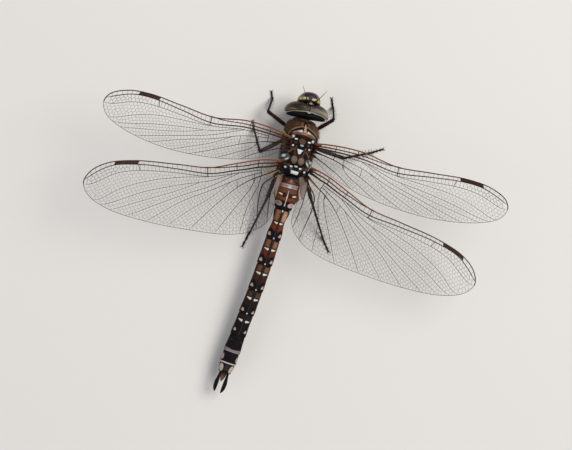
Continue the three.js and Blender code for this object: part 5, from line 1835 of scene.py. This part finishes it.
def make_leg(place, femur_rgb):
    thick, mid, thin = LEG_RADII[place.split("_")[0]]
    coxa = ordered("coxa_" + place, TRUNK_MIDDLE)
    femur = ordered("femur_" + place, coxa[1])
    tibia = ordered("tibia_" + place, femur[1])
    heel, toe = (p * (1, 1, 0) for p in ordered("tarsus_" + place, tibia[1]))
    knee = (femur[1] + tibia[0]) / 2
    hip = (coxa[1] + femur[0]) / 2

    def limb(heap, start, end, radii, sides, rgb, roughness, rings=30, bow=0.0):
        """A tube between two places, from (share of its length, radius) pairs.

        The heap holds its tint itself, so mark can still change it afterwards.
        """
        t = np.linspace(0, 1, rings)
        path = start + (end - start) * t[:, None]
        path[:, 2] += bow * np.sin(t * math.pi)
        skin, faces = tube(path, np.interp(t, *zip(*radii)), sides)
        tint, mark = painter(rgb, roughness, skin)
        heap.add(skin, faces, tint)
        return skin, mark, t

    def close(heap, part):
        heap.piece(part + "_" + place + "_shell", LEG_SHELL, [part + "_" + place])

    heap = Heap()
    radii = [(0, thick * 0.95), (0.3, thick * 1.05), (0.8, thick * 0.9), (1, thick * 0.7)]
    limb(heap, coxa[0], hip, radii, 20, "#3d2a22", 0.5, 16)
    close(heap, "coxa")

    heap = Heap()
    radii = [(0, 0.8), (0.06, 0.88), (0.12, 0.78), (0.4, 0.95), (0.85, 0.78), (0.95, 0.9), (1, 0.62)]
    skin, mark, t = limb(heap, hip, knee, [(s, r * mid) for s, r in radii], 20, femur_rgb, 0.4, bow=0.12)
    out = per_point(t, 20, 0, 1)
    mark(step_up(0.72, 0.95, out), "#131012")
    mark(step_down(0.05, 0.12, out) * 0.7, "#1c1413")
    mark(step_up(-0.4, 0.6, rough_field(skin, 0.5)) * 0.65, "#171013")
    spine_row(heap, hip, knee, mid * 0.9, 9, 0.42, 0.9)
    close(heap, "femur")

    heap = Heap()
    ankle = np.array([tibia[1][0], tibia[1][1], max(tibia[1][2], ANKLE_HEIGHT)])
    radii = [(0, 0.6), (0.04, 0.72), (0.1, 0.56), (0.5, 0.5), (0.93, 0.46), (1, 0.52)]
    limb(heap, knee, ankle, [(s, r * mid * 0.92) for s, r in radii], 16, "#171315", 0.38)
    spine_row(heap, knee, ankle, mid * 0.55, 9, 0.95, 0.75)
    close(heap, "tibia")

    # Three foot joints on the floor, then two claws.
    heap = Heap()
    length = np.linalg.norm(toe - heel)
    aim = unit(toe - heel)
    wide = thin * 0.75
    t = np.linspace(0, 1, 10)
    for k, (start, end) in enumerate(zip(FOOT_JOINTS, FOOT_JOINTS[1:])):
        shape = np.interp(t, [0, 0.15, 0.8, 1], [0.7, 0.85, 1.0, 0.8]) * wide * (1 - 0.1 * k)
        path = heel + aim * ((start + (end - start) * t) * length)[:, None]
        path[:, 2] = shape + 0.002
        if k == 0:
            path[:, 2] += (1 - t) * 0.35
        skin, faces = tube(path, shape, 12)
        heap.add(skin, faces, tint_of("#151113", 0.42))
    across, _ = crosswise(aim)
    t = np.linspace(0, 1, 9)
    for side in (-1, 1):
        spread = across * (side * (0.05 + 0.26 * np.sin(t * 1.3)))[:, None]
        path = heel + aim * (0.85 * length) + aim * (t * 0.15 * length)[:, None] + spread
        path[:, 2] = 0.17 - 0.13 * t**2 + 0.06 * np.sin(t * math.pi)
        skin, faces = tube(path, np.linspace(0.075, 0.022, 9), 7)
        heap.add(skin, faces, tint_of("#2a1a14", 0.3))
    spine_row(heap, heel + (0, 0, wide), toe + (0, 0, wide), wide * 0.8, 4, 0.3, 0.9, down=0.05)
    close(heap, "tarsus")


for leg_place, femur_rgb in FEMUR_TINTS.items():
    make_leg(leg_place, femur_rgb)

# ---------------------------------------------------------------- hair

TUFT_PATCH = 0.003  # the size of each tuft's patch of the bake map
# A patch's seven corners, as shares of its size.
TUFT_CORNERS = np.array([(0.0, 0.0), (0.5, 0.0), (1.0, 0.0), (0.0, 0.6), (0.5, 0.6), (1.0, 0.6), (0.5, 1.0)])
THORAX_TUFTS = 3400


def hair_tuft(chooser, root, normal, on_back):
    """Seven points of a fine tuft that leans to the rear: two triangles and a tip."""
    lean = np.array([chooser.uniform(-0.3, 0.3), chooser.uniform(0.2, 1.0), chooser.uniform(-0.3, 0.2)])
    length = chooser.uniform(0.28, 0.62) * (0.7 if on_back else 1.0)
    aim = unit(normal + lean * 0.9)
    bend = unit(aim + np.array([0, 0.5, -0.15]))
    across = unit(np.cross(aim, normal + np.array([0.01, 0.02, 0.03])))
    width = chooser.uniform(0.012, 0.02)
    lift = unit(np.cross(across, aim))
    base = root - normal * 0.03
    points = []
    for t, share in ((0, 1.0), (0.5, 0.75)):
        for angle in (0.5, 2.6, 4.7):
            around = (across * math.cos(angle) + lift * math.sin(angle)) * width * share
            points.append(base + aim * (length * t) + around)
    return points + [base + aim * (length * 0.5) + bend * (length * 0.5)]


def make_hair():
    """Short soft hair on the thorax, except on the black back between the wings."""
    chooser = random.Random(3)
    rings, sides = thorax_points.shape[:2]
    points, faces, tints, spots = [], [], [], []
    while len(spots) < THORAX_TUFTS:
        i = chooser.randrange(2, rings - 2)
        j = chooser.randrange(sides)
        root = thorax_points[i, j]
        y = root[1]
        rise = thorax_rise[i, j]
        off = abs(root[0] - spine_x(y))
        on_back = rise > 0.55 and y > -3.4 and off < 2.6
        if on_back and chooser.random() > 0.03:
            continue
        if rise > 0.5 and (off < 0.55 or (y > -4.5 and off < 2.6)):
            continue
        start = len(points)
        points += hair_tuft(chooser, root, thorax_normals[i, j], on_back)
        for k in range(3):
            m = (k + 1) % 3
            faces.append([start + k, start + m, start + 3 + m, start + 3 + k])
            faces.append([start + 3 + k, start + 3 + m, start + 6])
        faces.append([start + 2, start + 1, start])
        tints += [tint_of(colour("#66513f") * chooser.uniform(0.7, 1.2), 0.55)] * 7
        # Each tuft's patch of the bake map sits where its root lies on the thorax unrolled.
        spots.append((i / rings, j / sides) + (TUFT_CORNERS - 0.5) * TUFT_PATCH)
    obj = make_piece("thorax_hair", np.array(points), faces, HAIR, np.array(tints), outward=False)
    layer = obj.data.uv_layers.new(name="OFBake")
    loops = np.empty(len(obj.data.loops), dtype=np.int32)
    obj.data.loops.foreach_get("vertex_index", loops)
    spots = np.clip(np.vstack(spots), 0.0, 1.0)
    layer.data.foreach_set("uv", spots[loops].astype(np.float32).ravel())


make_hair()

# ---------------------------------------------------------------- floor, light and camera

FLOOR_HALF = 2.0
VIEW_CENTRE = np.array([-1.57, 14.52, 10.0])
VIEW_WIDTH = 111.07
VIEW_DISTANCE = 600.0
VIEW_TILT = math.radians(6)
PICTURE_UP = np.array([0.284, -0.959, 0.0])
SENSOR_WIDTH = 36.0


def add_object(name, data):
    obj = bpy.data.objects.new(name, data)
    bpy.context.scene.collection.objects.link(obj)
    return obj


def make_stage():
    mesh = bpy.data.meshes.new("floor")
    corners = [(x * FLOOR_HALF, y * FLOOR_HALF, 0) for x, y in ((-1, -1), (1, -1), (1, 1), (-1, 1))]
    mesh.from_pydata(corners, [], [(0, 1, 2, 3)])
    material, tree, shader = new_material("floor")
    fill(tree, shader, {"Base Color": (0.62, 0.6, 0.57, 1), "Roughness": 0.9})
    mesh.materials.append(material)
    floor = add_object("floor", mesh)


def add_light(name, place, size, power, rgb):
    data = bpy.data.lights.new(name, "AREA")
    data.size = size
    data.energy = power
    data.color = rgb
    light = add_object(name, data)
    light.location = place
    light.rotation_euler = (-Vector(place)).to_track_quat("-Z", "Y").to_euler()


def add_world():
    world = bpy.data.worlds.new("room")
    world.use_nodes = True
    tree = world.node_tree
    fill(tree, tree.nodes["Background"], {"Color": (0.9, 0.93, 1.0, 1), "Strength": 0.38})
    bpy.context.scene.world = world


def add_camera():
    """The photograph's view: from above, with the head at the top of the picture."""
    data = bpy.data.cameras.new("camera")
    data.sensor_width = SENSOR_WIDTH
    data.lens = SENSOR_WIDTH * VIEW_DISTANCE / VIEW_WIDTH
    data.clip_start = 0.01
    data.clip_end = 20
    back = np.array([math.sin(VIEW_TILT), 0, math.cos(VIEW_TILT)])
    right = unit(np.cross(PICTURE_UP, back))
    place = (VIEW_CENTRE + ORIGIN + back * VIEW_DISTANCE) * MM
    matrix = np.eye(4)
    matrix[:3] = np.column_stack([right, np.cross(back, right), back, place])
    camera = add_object("camera", data)
    camera.matrix_world = Matrix(matrix.tolist())
    bpy.context.scene.camera = camera


make_stage()
add_light("key", (-0.32, -0.36, 0.72), 0.5, 7.8, (1.0, 0.98, 0.95))
add_light("fill", (0.6, 0.35, 0.5), 0.6, 1.8, (0.92, 0.96, 1.0))
add_world()
add_camera()
bpy.context.scene.view_settings.view_transform = "Standard"
